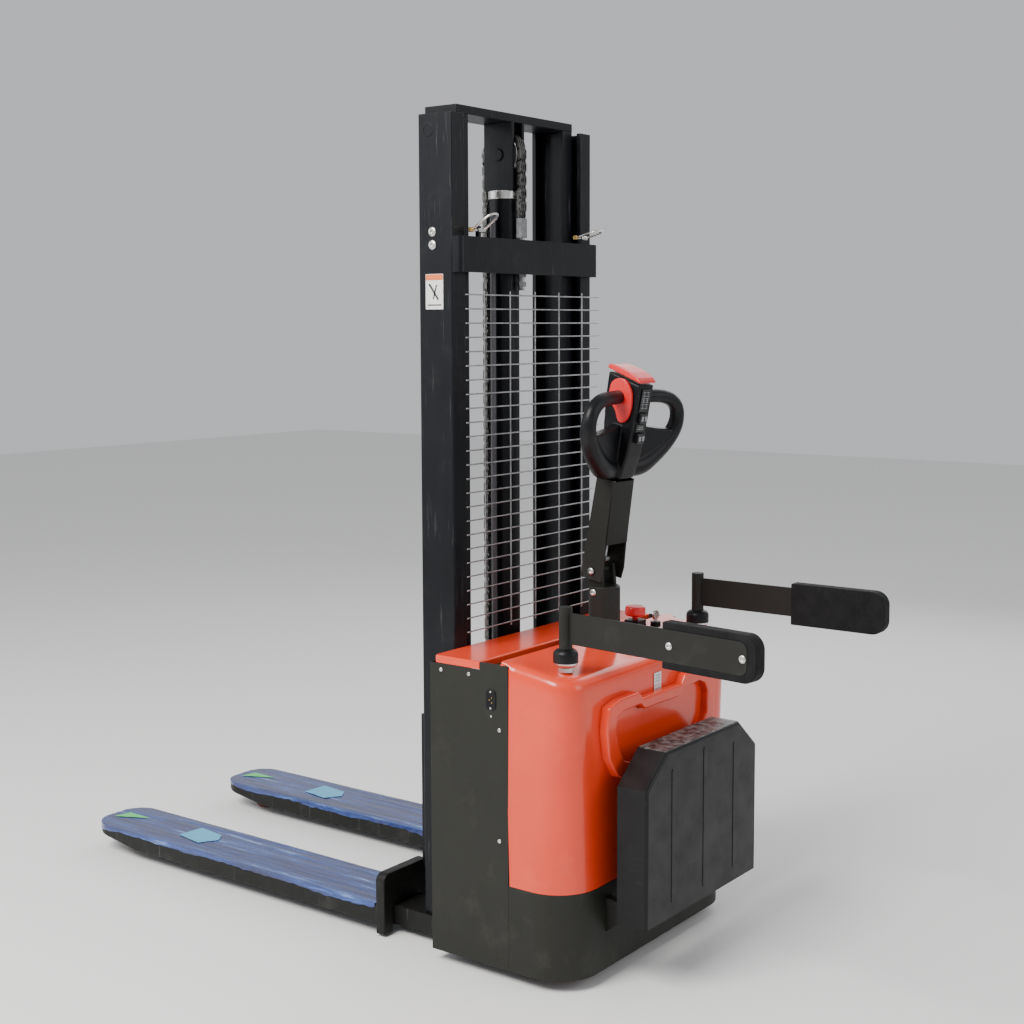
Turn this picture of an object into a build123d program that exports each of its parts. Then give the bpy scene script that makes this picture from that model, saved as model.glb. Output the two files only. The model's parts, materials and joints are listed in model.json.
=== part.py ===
# Walkie stacker: two-stage mast, support legs under the forks, tiller-steered drive unit,
# fold-up operator platform and swing-out guard arms.  Millimetres, +Z up.
# The model is drawn with x = 0 on the centre plane, y = 0 on the rear face of the outer mast,
# z = 0 on the floor and the forks towards +Y.  It is written out with its origin moved along Y
# to the middle of the footprint.
from build123d import *
import os
from math import cos, radians, sin

# ---- driving dimensions ----------------------------------------------------------------------
MAST_TOP = 2090.0            # top of the outer channels
MAST_WIDTH = 602.0
CHANNEL_DEPTH = 106.0
CHANNEL_FLANGE = 49.0        # width of a flange, outside face to tip
CHANNEL_WEB = 12.0
FLANGE_THICK = 14.0
STAGE_GAP = 2.0              # side gap between outer flange tips and the inner stage
INNER_DEPTH = 102.0
INNER_FORWARD = 25.0         # inner stage's rear face, ahead of the outer mast's rear face
INNER_FLANGE = 46.0
INNER_FLANGE_THICK = 12.0
INNER_TIE_THICK = 21.0
INNER_FOOT = 92.0            # lower end of the inner channels at rest
INNER_TOP_ABOVE = 4.0        # inner channels stand this far above the outer ones

ROLLER_PLAY = 0.4            # radial play of a mast roller between its flanges
ROLLER_SIDE = 1.0            # play beside a mast roller
STUB_DIA = 30.0
RUN_CLEAR = 0.05             # radial clearance of a shaft in its bore
MAST_ROLLER_Z = 150.0
CARRIAGE_ROLLER_Z = (190.0, 500.0)

CROSSBAR_BELOW_TOP = 298.0     # rear cross plate, below the top of the outer channels
CROSSBAR_HEIGHT = 87.0
CROSSBAR_THICK = 10.0
CROSSBAR_GAP = 16.0          # its plate stands this far behind the mast

CYLINDER_Y = 68.0
CYLINDER_DIA = 76.0
CYLINDER_BORE = 63.0
ROD_DIA = 45.0
GLAND_DIA = 84.0
GLAND_HEIGHT = 22.0
PISTON_HEIGHT = 50.0

WHEEL_BELOW_TOP = 77.0         # chain wheel axis at rest, below the top of the outer channels
CHAIN_REAR_Y = 12.0          # rear run of the lift chain
CHAIN_WIDTH = 30.0
CHAIN_DEPTH = 16.0
WHEEL_WIDTH = 34.0
WHEEL_FLANGE = 6.0
WHEEL_PIN_DIA = 32.0
BLOCK_PLATE = 8.0
BLOCK_WIDTH = 92.0
BLOCK_HEIGHT = 172.0
ANCHOR_ABOVE_BAR = 58.0        # where the rear run ends in its clevis, above the cross plate
PIPE_BELOW_TOP = 240.0         # bend of the oil pipe, below the top of the outer channels
ANCHOR_ROD_DIA = 14.0
CARRIAGE_ANCHOR_Z = 420.0

LEG_INNER = 212.0            # inner side face of a support leg from the centre plane
LEG_WIDTH = 100.0
LEG_TOP = 75.0
LEG_CLEAR_FLOOR = 25.0
LEG_TIP_Y = 1305.0
LEG_WALL = 8.0
LOAD_ROLLER_DIA = 72.0
LOAD_ROLLER_SIDE = 7.0         # gap between a load roller and the leg wall
LOAD_ROLLER_Y = 1250.0
LOAD_AXLE_DIA = 20.0

FORK_INNER = 170.0
FORK_WIDTH = 185.0
FORK_TOP = 85.0
FORK_BOTTOM = 32.0
FORK_WALL = 8.0
FORK_LENGTH = 1150.0
HEEL_FRONT_Y = 226.0
HEEL_THICK = 29.0
HEEL_TOP = 167.0
HEEL_BOTTOM = 6.0
HEEL_CORNER = 22.0
LEG_NOTCH_GAP = 8.0

BODY_HALF = 385.0            # half width over the side panels
PANEL_SHEET = 3.0
PANEL_FRONT_Y = 11.0
PANEL_REAR_Y = -227.0
PANEL_TOP = 775.0
BODY_BOTTOM = 30.0
SKIRT_TOP = 240.0
BODY_REAR_Y = -406.0
BODY_CORNER = 110.0

STRIP_TOP = 775.0
STRIP_DEPTH = 142.0
STRIP_SHEET = 3.0
STRIP_LIP = 18.0

COVER_FRONT_Y = -228.0
COVER_TOP = 782.0
COVER_TOP_REAR = 744.0
COVER_WALL = 4.0
COVER_TOP_CORNER = 60.0
SEAM = 1.0                   # visible gap between cover, panels and skirt

DECK_Z = 150.0               # top of the chassis floor plate
DECK_THICK = 12.0
BEAM_DEPTH = 60.0
BATTERY_FOOT = 470.0

STEER_Y = -246.0             # vertical steering axis
STEER_AT_REST = -4.0        # tiller is parked turned by this angle
DRIVE_WHEEL_DIA = 230.0
DRIVE_WHEEL_WIDTH = 74.0
DRIVE_AXLE_DIA = 35.0
COLUMN_DIA = 80.0
DRIVE_HOLE_DIA = 280.0
BRIDGE_Z = 254.0
BRIDGE_THICK = 12.0
MOTOR_DIA = 150.0
MOTOR_TOP = 440.0
SHAFT_DIA = 40.0
TILLER_BASE_TOP = 918.0
TILLER_BASE_FOOT = 792.0
COVER_HOLE_DIA = 92.0

TILT_Y = -240.0              # tiller tilt pivot
TILT_Z = 959.0
TILT_LEAN = 9.5              # lean towards the operator at rest
TILT_PIN_DIA = 16.0
ARM_HALF = 45.0
ARM_SHEET = 4.0
EAR_HALF = 30.0

HEAD_HALF = 205.0
HEAD_SWEEP = 11.0            # each grip loop is swept back towards the operator
GRIP_DIA = 36.0
HEAD_LOW = 238.0             # foot of the head along the tiller, where the arm ends
HEAD_TOP = 504.0
COLUMN_HALF = 31.0
WING_SLOT = 12.0
WING_THICK = 10.0

CASTOR_X = 275.0
CASTOR_Y = -280.0
CASTOR_TRAIL = 28.0
CASTOR_WHEEL_DIA = 110.0
CASTOR_WHEEL_WIDTH = 38.0
CASTOR_PIN_DIA = 16.0
CASTOR_AXLE_DIA = 12.0
CASTOR_HEAD_Z = 130.0

PLATFORM_HALF = 268.0
PLATFORM_FOOT = 165.0
PLATFORM_HEIGHT = 408.0
PLATFORM_REAR_Y = -541.0
PLATFORM_DEPTH = 82.0
PLATFORM_SHEET = 4.0
PLATFORM_TOP_HALF = 176.0
PLATFORM_CHAMFER = 76.0
PLATFORM_PIVOT_Y = -452.0
PLATFORM_PIVOT_Z = 182.0
PLATFORM_PIN_DIA = 16.0
BRACKET_X = 225.0
BRACKET_PLATE = 8.0
LUG_THICK = 10.0

POST_X = 308.0               # guard arm posts
POST_Y = -340.0
POST_DIA = 32.0
POST_FOOT = 774.0
POST_TOP = 918.0
GUARD_LENGTH = 540.0         # post axis to the end of the pad
GUARD_PLATE_HEIGHT = 74.0
GUARD_PLATE_THICK = 6.0
GUARD_PLATE_TOP = 905.0
PAD_LENGTH = 252.0
PAD_HEIGHT = 106.0
PAD_THICK = 34.0
PAD_END_MARGIN = 24.0
LEFT_SPLAY = 7.0             # left arm is parked swung out by this angle
BOOT_DIA = 60.0
BOOT_HEIGHT = 44.0
BOOT_CLEAR = 0.4

MESH_WIRES = 25
MESH_TOP = 1648.0
MESH_BOTTOM = 816.0
MESH_WIRE = 4.0
MESH_HALF = 290.0
MESH_COLUMNS = 5
MESH_COLUMN_PITCH = 107.0
MESH_Y = -35.0

STOP_X, STOP_Y = 150.0, -244.0
KEY_X, KEY_Y = 222.0, -262.0
SOCKET_Y, SOCKET_Z = -177.0, 687.0
SCREW_DIA = 10.0
SCREW_HEAD = 2.5
SHACKLE_X = 225.0
SHACKLE_WIRE = 8.0
SHACKLE_LENGTH = 70.0
SHACKLE_WIDTH = 46.0
SHACKLE_LEAN = (55.0, 75.0)

# ---- values worked out from them -------------------------------------------------------------
OUTER_HALF = MAST_WIDTH / 2
INNER_HALF = OUTER_HALF - CHANNEL_FLANGE - STAGE_GAP
INNER_TOP = MAST_TOP + INNER_TOP_ABOVE
CROSSBAR_TOP = MAST_TOP - CROSSBAR_BELOW_TOP
ANCHOR_TOP = CROSSBAR_TOP + ANCHOR_ABOVE_BAR
WHEEL_Z = MAST_TOP - WHEEL_BELOW_TOP
PIPE_TOP = MAST_TOP - PIPE_BELOW_TOP
LOAD_ROLLER_WIDTH = LEG_WIDTH - 2 * LEG_WALL - 2 * LOAD_ROLLER_SIDE
CROSSBAR_LOW = CROSSBAR_TOP - CROSSBAR_HEIGHT
SHACKLE_Y = -CROSSBAR_GAP - CROSSBAR_THICK / 2
OUTER_CAVITY = CHANNEL_DEPTH - 2 * FLANGE_THICK
INNER_CAVITY = INNER_DEPTH - 2 * INNER_FLANGE_THICK
MAST_ROLLER_DIA = OUTER_CAVITY - 2 * ROLLER_PLAY
CARRIAGE_ROLLER_DIA = INNER_CAVITY - 2 * ROLLER_PLAY
MAST_ROLLER_Y = CHANNEL_DEPTH / 2
CARRIAGE_ROLLER_Y = INNER_FORWARD + INNER_DEPTH / 2
CARRIAGE_HALF = INNER_HALF - INNER_FLANGE - 4.0
CHAIN_PITCH_R = CYLINDER_Y - CHAIN_REAR_Y
WHEEL_ROOT_R = CHAIN_PITCH_R - CHAIN_DEPTH / 2
CHAIN_FRONT_Y = CYLINDER_Y + CHAIN_PITCH_R
BLOCK_TOP = INNER_TOP
BLOCK_LOW = BLOCK_TOP - BLOCK_HEIGHT
GLAND_TOP = BLOCK_LOW
CYLINDER_FOOT = LEG_TOP - 15.0
HEEL_REAR_Y = HEEL_FRONT_Y - HEEL_THICK
FORK_TIP_Y = HEEL_FRONT_Y + FORK_LENGTH
GUARD_END_Y = POST_Y - GUARD_LENGTH
ORIGIN_Y = (FORK_TIP_Y + GUARD_END_Y) / 2
LEG_MID = LEG_INNER + LEG_WIDTH / 2
BLOCK_HALF = WHEEL_WIDTH / 2 + 1.0 + BLOCK_PLATE
ARM_TOP = HEAD_LOW
GRIP_Z = HEAD_LOW + 208.0      # grip bar and throttle axis along the tiller
TILT_STEP = Location((0, TILT_Y, TILT_Z), (TILT_LEAN, 0, 0))
GUARD_PLATE_LOW = GUARD_PLATE_TOP - GUARD_PLATE_HEIGHT
PAD_MID_Z = GUARD_PLATE_TOP - GUARD_PLATE_HEIGHT / 2
BOOT_TOP = POST_FOOT + BOOT_HEIGHT


# ---- small helpers ---------------------------------------------------------------------------
def block(x0, x1, y0, y1, z0, z1):
    """Box between two corners."""
    centre = ((x0 + x1) / 2, (y0 + y1) / 2, (z0 + z1) / 2)
    return Pos(*centre) * Box(abs(x1 - x0), abs(y1 - y0), abs(z1 - z0))


def rod_z(x, y, z0, z1, dia):
    return Pos(x, y, (z0 + z1) / 2) * Cylinder(dia / 2, z1 - z0)


def rod_x(x0, x1, y, z, dia):
    return Pos((x0 + x1) / 2, y, z) * Rot(0, 90, 0) * Cylinder(dia / 2, x1 - x0)


def rod_y(x, y0, y1, z, dia):
    return Pos(x, (y0 + y1) / 2, z) * Rot(90, 0, 0) * Cylinder(dia / 2, y1 - y0)


def both_sides(shape):
    """The shape and its mirror image across the centre plane, as two solids."""
    return Compound(children=shape.solids() + mirror(shape, Plane.YZ).solids())


def prism_x(points, x0, x1):
    """Closed outline in Y and Z, drawn out along X."""
    wire = Polyline(*[(x0, y, z) for y, z in points], close=True)
    return extrude(make_face(wire), amount=x1 - x0, dir=(1, 0, 0))


def prism_y(points, y0, y1):
    """Closed outline in X and Z, drawn out along Y."""
    wire = Polyline(*[(x, y0, z) for x, z in points], close=True)
    return extrude(make_face(wire), amount=y1 - y0, dir=(0, 1, 0))


def rounded_rear(half, front, rear, corner, z):
    """Plan outline at height z: square at the front, with two round rear corners."""
    left = (-half, front, z)
    lower_left = (-half, rear + corner, z)
    rear_left = (-half + corner, rear, z)
    rear_right = (half - corner, rear, z)
    lower_right = (half, rear + corner, z)
    right = (half, front, z)
    bend = corner * sin(radians(45))
    mid_left = (-half + corner - bend, rear + corner - bend, z)
    mid_right = (half - corner + bend, rear + corner - bend, z)
    edges = [
        Line(right, left),
        Line(left, lower_left),
        ThreePointArc(lower_left, mid_left, rear_left),
        Line(rear_left, rear_right),
        ThreePointArc(rear_right, mid_right, lower_right),
        Line(lower_right, right),
    ]
    return make_face(edges)


PARTS = {}


def keep(name, shape):
    """Hold a finished node until it is written out."""
    PARTS[name] = shape


# ---- chassis ---------------------------------------------------------------------------------
def chassis_frame():
    """Welded floor: cross beam, floor plate with the drive hole, cylinder foot and bridge."""
    inside = BODY_HALF - PANEL_SHEET - 10.0
    beam = block(-inside, inside, -BEAM_DEPTH - 6, -6, LEG_CLEAR_FLOOR + 5, DECK_Z)
    rear = BODY_REAR_Y + PANEL_SHEET + 10.0
    plan = rounded_rear(inside, -BEAM_DEPTH - 6, rear, BODY_CORNER - 12.0, DECK_Z - DECK_THICK)
    plate = extrude(plan, amount=DECK_THICK, dir=(0, 0, 1))
    plate -= rod_z(0, STEER_Y, DECK_Z - 2 * DECK_THICK, DECK_Z + 1, DRIVE_HOLE_DIA)
    foot = block(-LEG_INNER, LEG_INNER, -6, CHANNEL_DEPTH, 30, CYLINDER_FOOT)
    frame = beam + plate + foot
    for side in (-1, 1):
        x = side * CASTOR_X
        frame += rod_z(x, CASTOR_Y, CASTOR_HEAD_Z, DECK_Z - DECK_THICK, 76)
        frame -= rod_z(x, CASTOR_Y, CASTOR_HEAD_Z - 1, DECK_Z - 2, CASTOR_PIN_DIA + 2 * RUN_CLEAR)
        for y in (STEER_Y - 105, STEER_Y + 105):
            frame += block(x * 0.58 - 12, x * 0.58 + 12, y - 12, y + 12, DECK_Z, BRIDGE_Z)
    bridge = block(-175, 175, STEER_Y - 120, STEER_Y + 120, BRIDGE_Z, BRIDGE_Z + BRIDGE_THICK)
    bore = COLUMN_DIA + 2 * RUN_CLEAR
    bridge -= rod_z(0, STEER_Y, BRIDGE_Z - 1, BRIDGE_Z + BRIDGE_THICK + 1, bore)
    return frame + bridge + battery_shelf()


def support_leg():
    """Right leg: inverted channel with a pocket and axle for its load roller."""
    x0, x1 = LEG_INNER, LEG_INNER + LEG_WIDTH
    leg = block(x0, x1, -6, LEG_TIP_Y, LEG_CLEAR_FLOOR, LEG_TOP)
    leg = fillet(leg.edges().filter_by(Axis.Z).group_by(Axis.Y)[-1], 24)
    pocket_y = LOAD_ROLLER_DIA / 2 + 8
    inside = (x0 + LEG_WALL, x1 - LEG_WALL)
    leg -= block(*inside, CHANNEL_DEPTH, LOAD_ROLLER_Y - pocket_y - 20, 0, LEG_TOP - LEG_WALL)
    leg -= block(*inside, LOAD_ROLLER_Y - pocket_y, LOAD_ROLLER_Y + pocket_y, 0, LEG_TOP + 1)
    return leg + rod_x(x0 + 2, x1 - 2, LOAD_ROLLER_Y, LOAD_ROLLER_DIA / 2, LOAD_AXLE_DIA)


def load_roller():
    half = LOAD_ROLLER_WIDTH / 2
    roller = rod_x(LEG_MID - half, LEG_MID + half, LOAD_ROLLER_Y, LOAD_ROLLER_DIA / 2, LOAD_ROLLER_DIA)
    roller = chamfer(roller.edges().filter_by(GeomType.CIRCLE), 2)
    bore = LOAD_AXLE_DIA + 2 * RUN_CLEAR
    return roller - rod_x(LEG_MID - half - 1, LEG_MID + half + 1, LOAD_ROLLER_Y, LOAD_ROLLER_DIA / 2, bore)


# ---- mast ------------------------------------------------------------------------------------
def channel(half, width, y0, depth, web, flange, z0, z1):
    """Right-hand mast channel, open towards the centre plane."""
    solid = block(half - width, half, y0, y0 + depth, z0, z1)
    solid = fillet(solid.edges().filter_by(Axis.Z).group_by(Axis.X)[-1], 5)
    return solid - block(half - width - 1, half - web, y0 + flange, y0 + depth - flange, z0 - 1, z1 + 1)


def outer_channel():
    return channel(OUTER_HALF, CHANNEL_FLANGE, 0, CHANNEL_DEPTH, CHANNEL_WEB, FLANGE_THICK,
                   LEG_TOP, MAST_TOP)


def inner_channel():
    solid = channel(INNER_HALF, INNER_FLANGE, INNER_FORWARD, INNER_DEPTH, CHANNEL_WEB,
                    INNER_FLANGE_THICK, INNER_FOOT, INNER_TOP)
    reach = OUTER_HALF - CHANNEL_WEB - ROLLER_SIDE
    return solid + rod_x(INNER_HALF - 1, reach, MAST_ROLLER_Y, MAST_ROLLER_Z, STUB_DIA)


def roller(x0, x1, y, z, dia):
    wheel = rod_x(x0, x1, y, z, dia)
    wheel = chamfer(wheel.edges().filter_by(GeomType.CIRCLE), 1.5)
    return wheel - rod_x(x0 - 1, x1 + 1, y, z, STUB_DIA + 2 * RUN_CLEAR)


def mast_rollers():
    x1 = OUTER_HALF - CHANNEL_WEB - ROLLER_SIDE
    return roller(INNER_HALF + ROLLER_SIDE, x1, MAST_ROLLER_Y, MAST_ROLLER_Z, MAST_ROLLER_DIA)


def carriage_roller(z):
    x1 = INNER_HALF - CHANNEL_WEB - ROLLER_SIDE
    return roller(CARRIAGE_HALF + ROLLER_SIDE, x1, CARRIAGE_ROLLER_Y, z, CARRIAGE_ROLLER_DIA)


def inner_ties():
    """Top cap and lower cross plate of the inner stage."""
    top = block(-INNER_HALF, INNER_HALF, INNER_FORWARD, INNER_FORWARD + INNER_DEPTH,
                INNER_TOP, INNER_TOP + INNER_TIE_THICK)
    top = fillet(top.edges().filter_by(Axis.Z), 4)
    rear = INNER_FORWARD - 8.0
    low = block(-INNER_HALF, INNER_HALF, rear, INNER_FORWARD, 170, 250)
    return Compound(children=top.solids() + low.solids())


def mast_crossbar():
    """Rear cross plate of the outer mast with bent ends, chain anchor shelf and two lugs."""
    rear = -CROSSBAR_GAP - CROSSBAR_THICK
    plate = block(-OUTER_HALF, OUTER_HALF, rear, 0, CROSSBAR_LOW, CROSSBAR_TOP)
    plate = fillet(plate.edges().filter_by(Axis.Z).group_by(Axis.Y)[0], 15)
    end = OUTER_HALF - CROSSBAR_THICK
    plate -= block(-end, end, -CROSSBAR_GAP, 1, CROSSBAR_LOW - 1, CROSSBAR_TOP + 1)
    shelf = block(-24, 24, -CROSSBAR_GAP, 22, CROSSBAR_LOW + 20, CROSSBAR_LOW + 45)
    shelf -= rod_z(0, CHAIN_REAR_Y, CROSSBAR_LOW, CROSSBAR_TOP, ANCHOR_ROD_DIA + 1)
    bar = plate + shelf
    for side in (-1, 1):
        x = side * SHACKLE_X
        bar += block(x - 5, x + 5, rear, -CROSSBAR_GAP, CROSSBAR_TOP, CROSSBAR_TOP + 26)
    hole = SHACKLE_WIRE + 2 * RUN_CLEAR
    return bar - rod_x(-OUTER_HALF, OUTER_HALF, SHACKLE_Y, CROSSBAR_TOP + 16, hole)


def lifting_shackle(side, lean):
    """Wire loop whose straight side turns in the crossbar lug, left leaning to the rear."""
    x = side * SHACKLE_X
    y, z = SHACKLE_Y, CROSSBAR_TOP + 16
    half = SHACKLE_WIDTH / 2
    loop = rod_x(x - half, x + half, y, z, SHACKLE_WIRE)
    loop += rod_x(x - half, x + half, y, z + SHACKLE_LENGTH, SHACKLE_WIRE)
    for end in (x - half, x + half):
        loop += rod_z(end, y, z, z + SHACKLE_LENGTH, SHACKLE_WIRE)
        loop += Pos(end, y, z) * Sphere(SHACKLE_WIRE / 2)
        loop += Pos(end, y, z + SHACKLE_LENGTH) * Sphere(SHACKLE_WIRE / 2)
    return loop.rotate(Axis((0, y, z), (1, 0, 0)), lean)


# ---- lift cylinder and chain -----------------------------------------------------------------
def cylinder_tube():
    tube = rod_z(0, CYLINDER_Y, CYLINDER_FOOT, GLAND_TOP - GLAND_HEIGHT, CYLINDER_DIA)
    return tube - rod_z(0, CYLINDER_Y, CYLINDER_FOOT + 12, GLAND_TOP, CYLINDER_BORE)


def cylinder_gland():
    ring = rod_z(0, CYLINDER_Y, GLAND_TOP - GLAND_HEIGHT, GLAND_TOP, GLAND_DIA)
    ring = chamfer(ring.edges().filter_by(GeomType.CIRCLE), 1.5)
    return ring - rod_z(0, CYLINDER_Y, 0, MAST_TOP, ROD_DIA + 2 * RUN_CLEAR)


def lift_rod():
    rod = rod_z(0, CYLINDER_Y, CYLINDER_FOOT + 30, BLOCK_LOW, ROD_DIA)
    piston_dia = CYLINDER_BORE - 2 * RUN_CLEAR
    foot = CYLINDER_FOOT + 30
    return rod + rod_z(0, CYLINDER_Y, foot, foot + PISTON_HEIGHT, piston_dia)


def chain_wheel_block():
    """Fork-shaped head on the lift rod that holds the chain wheel under the inner cap."""
    y0, y1 = CYLINDER_Y - BLOCK_WIDTH / 2, CYLINDER_Y + BLOCK_WIDTH / 2
    inner = BLOCK_HALF - BLOCK_PLATE
    solid = block(-BLOCK_HALF, BLOCK_HALF, y0, y1, BLOCK_LOW, BLOCK_TOP)
    solid -= block(-inner, inner, y0 - 1, y1 + 1, BLOCK_LOW + 14, BLOCK_TOP + 1)
    return solid - rod_x(-BLOCK_HALF - 1, BLOCK_HALF + 1, CYLINDER_Y, WHEEL_Z, WHEEL_PIN_DIA)


def chain_wheel():
    half = WHEEL_WIDTH / 2
    wheel = rod_x(-half, half, CYLINDER_Y, WHEEL_Z, 2 * (WHEEL_ROOT_R + WHEEL_FLANGE))
    groove = rod_x(-CHAIN_WIDTH / 2, CHAIN_WIDTH / 2, CYLINDER_Y, WHEEL_Z, 4 * WHEEL_ROOT_R)
    groove -= rod_x(-half, half, CYLINDER_Y, WHEEL_Z, 2 * WHEEL_ROOT_R)
    wheel -= groove
    return wheel - rod_x(-half - 1, half + 1, CYLINDER_Y, WHEEL_Z, WHEEL_PIN_DIA + 2 * RUN_CLEAR)


def chain_wheel_pin():
    pin = rod_x(-BLOCK_HALF - 4, BLOCK_HALF + 4, CYLINDER_Y, WHEEL_Z, WHEEL_PIN_DIA)
    return chamfer(pin.edges().filter_by(GeomType.CIRCLE), 1.5)


def chain_runs():
    """Rear run from the anchor to the wheel; half turn over the wheel and front run."""
    half = (CHAIN_WIDTH - 2) / 2
    deep = CHAIN_DEPTH / 2
    rear = block(-half, half, CHAIN_REAR_Y - deep, CHAIN_REAR_Y + deep, ANCHOR_TOP, WHEEL_Z)
    outer = CHAIN_PITCH_R + deep
    gap = 0.3
    wrap = rod_x(-half, half, CYLINDER_Y, WHEEL_Z, 2 * outer)
    wrap -= rod_x(-half - 1, half + 1, CYLINDER_Y, WHEEL_Z, 2 * (WHEEL_ROOT_R + gap))
    wrap -= block(-half - 1, half + 1, -200, 300, WHEEL_Z - outer - 1, WHEEL_Z)
    front_y = (CHAIN_FRONT_Y - deep + gap, CHAIN_FRONT_Y + deep)
    front = block(-half, half, *front_y, CARRIAGE_ANCHOR_Z, WHEEL_Z)
    return rear, front + wrap


def chain_anchor():
    """Clevis and threaded rod with two nuts, hanging the rear run from the crossbar."""
    y = CHAIN_REAR_Y
    clevis = block(-11, 11, y - 9, y + 9, ANCHOR_TOP - 50, ANCHOR_TOP)
    rod = rod_z(0, y, CROSSBAR_LOW - 40, ANCHOR_TOP - 50, ANCHOR_ROD_DIA)
    for z in (CROSSBAR_LOW + 8, CROSSBAR_LOW - 6, CROSSBAR_LOW - 30):
        rod += Pos(0, y, z) * extrude(RegularPolygon(11.5, 6), amount=12)
    return clevis + rod


def hydraulic_pipe():
    x, y, dia = -50.0, CYLINDER_Y, 14.0
    pipe = rod_z(x, y, 120, PIPE_TOP, dia)
    pipe += rod_x(x, -CYLINDER_DIA / 2 + 2, y, PIPE_TOP, dia) + Pos(x, y, PIPE_TOP) * Sphere(dia / 2)
    return pipe - cylinder_tube_envelope()


def cylinder_tube_envelope():
    return rod_z(0, CYLINDER_Y, 0, MAST_TOP, CYLINDER_DIA)


# ---- carriage and forks ----------------------------------------------------------------------
def carriage_frame():
    low, high = 140.0, 560.0
    plate = 12.0
    frame = block(-CARRIAGE_HALF, CARRIAGE_HALF, HEEL_REAR_Y - 20, HEEL_REAR_Y, low, low + 70)
    frame += block(-CARRIAGE_HALF, CARRIAGE_HALF, HEEL_REAR_Y - 20, HEEL_REAR_Y, high - 60, high)
    lug_y = CHAIN_FRONT_Y - CHAIN_DEPTH / 2
    anchor_z = CARRIAGE_ANCHOR_Z
    frame += block(-CARRIAGE_HALF, CARRIAGE_HALF, HEEL_REAR_Y - 20, HEEL_REAR_Y, anchor_z - 60, anchor_z)
    frame += block(-25, 25, lug_y, HEEL_REAR_Y - 20, anchor_z - 40, anchor_z)
    stub_end = INNER_HALF - CHANNEL_WEB - ROLLER_SIDE
    for side in (-1, 1):
        x0, x1 = sorted((side * CARRIAGE_HALF, side * (CARRIAGE_HALF - plate)))
        frame += block(x0, x1, CARRIAGE_ROLLER_Y - 36, HEEL_REAR_Y, low, high)
        for z in CARRIAGE_ROLLER_Z:
            a, b = sorted((side * (CARRIAGE_HALF - 2), side * stub_end))
            frame += rod_x(a, b, CARRIAGE_ROLLER_Y, z, STUB_DIA)
    return frame


def fork():
    """Right fork: heel plate notched over the leg, and an inverted channel that tapers."""
    x0, x1 = FORK_INNER, FORK_INNER + FORK_WIDTH
    heel = block(x0, x1, HEEL_REAR_Y, HEEL_FRONT_Y, HEEL_BOTTOM, HEEL_TOP)
    heel = fillet(heel.edges().filter_by(Axis.Y).group_by(Axis.Z)[-1], HEEL_CORNER)
    blade = block(x0, x1, HEEL_FRONT_Y, FORK_TIP_Y, FORK_BOTTOM, FORK_TOP)
    blade = fillet(blade.edges().filter_by(Axis.Z).group_by(Axis.Y)[-1], 70)
    taper = [(FORK_TIP_Y - 190, FORK_BOTTOM), (FORK_TIP_Y + 1, FORK_BOTTOM + 28),
             (FORK_TIP_Y + 1, FORK_BOTTOM - 1), (FORK_TIP_Y - 190, FORK_BOTTOM - 1)]
    blade -= prism_x(taper, x0 - 1, x1 + 1)
    inner_end = FORK_TIP_Y - 45
    blade -= block(x0 + FORK_WALL, x1 - FORK_WALL, HEEL_FRONT_Y - 1, inner_end, FORK_BOTTOM - 1, FORK_TOP - FORK_WALL)
    notch = block(LEG_INNER - LEG_NOTCH_GAP, LEG_INNER + LEG_WIDTH + LEG_NOTCH_GAP,
                  HEEL_REAR_Y - 1, HEEL_FRONT_Y + 1, 0, FORK_TOP - FORK_WALL)
    return heel - notch + blade


# ---- body ------------------------------------------------------------------------------------
def side_panel():
    """Right side sheet with a turned-in front edge."""
    x1 = BODY_HALF
    panel = block(x1 - PANEL_SHEET, x1, PANEL_REAR_Y, PANEL_FRONT_Y, BODY_BOTTOM, PANEL_TOP - STRIP_LIP - 1)
    panel += block(OUTER_HALF + 3, x1, PANEL_FRONT_Y - PANEL_SHEET, PANEL_FRONT_Y, BODY_BOTTOM,
                   PANEL_TOP - STRIP_LIP - 1)
    panel -= block(OUTER_HALF, LEG_INNER + LEG_WIDTH + 2, 0, PANEL_FRONT_Y + 1, 0, LEG_TOP + 2)
    rise_y = -STRIP_DEPTH - 1
    panel += block(x1 - PANEL_SHEET, x1, PANEL_REAR_Y, rise_y, PANEL_TOP - STRIP_LIP - 2, PANEL_TOP)
    return panel


def rear_skirt():
    outer = rounded_rear(BODY_HALF, PANEL_REAR_Y, BODY_REAR_Y, BODY_CORNER, BODY_BOTTOM)
    inner = rounded_rear(BODY_HALF - PANEL_SHEET, PANEL_REAR_Y + 1, BODY_REAR_Y + PANEL_SHEET,
                         BODY_CORNER - PANEL_SHEET, BODY_BOTTOM)
    height = SKIRT_TOP - BODY_BOTTOM
    return extrude(outer, amount=height, dir=(0, 0, 1)) - extrude(inner, amount=height, dir=(0, 0, 1))


def deck_strip():
    """Folded lid between the mast and the motor cover."""
    y0, y1 = -STRIP_DEPTH, 0
    lid = block(-BODY_HALF, BODY_HALF, y0, y1, STRIP_TOP - STRIP_LIP, STRIP_TOP)
    lid = fillet(lid.edges().filter_by(Axis.Z).group_by(Axis.Y)[-1], 14)
    lid = fillet(lid.edges().group_by(Axis.Z)[-1], 5)
    inside = BODY_HALF - STRIP_SHEET
    return lid - block(-inside, inside, y0 + STRIP_SHEET, y1 - STRIP_SHEET, 0, STRIP_TOP - STRIP_SHEET)


def slot_plate():
    """Black cross plate that closes the slot between the lid and the motor cover."""
    inside = BODY_HALF - PANEL_SHEET - 0.5
    return block(-inside, inside, COVER_FRONT_Y + 6, -STRIP_DEPTH - 2, PANEL_TOP - 22, PANEL_TOP - 16)


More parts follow.
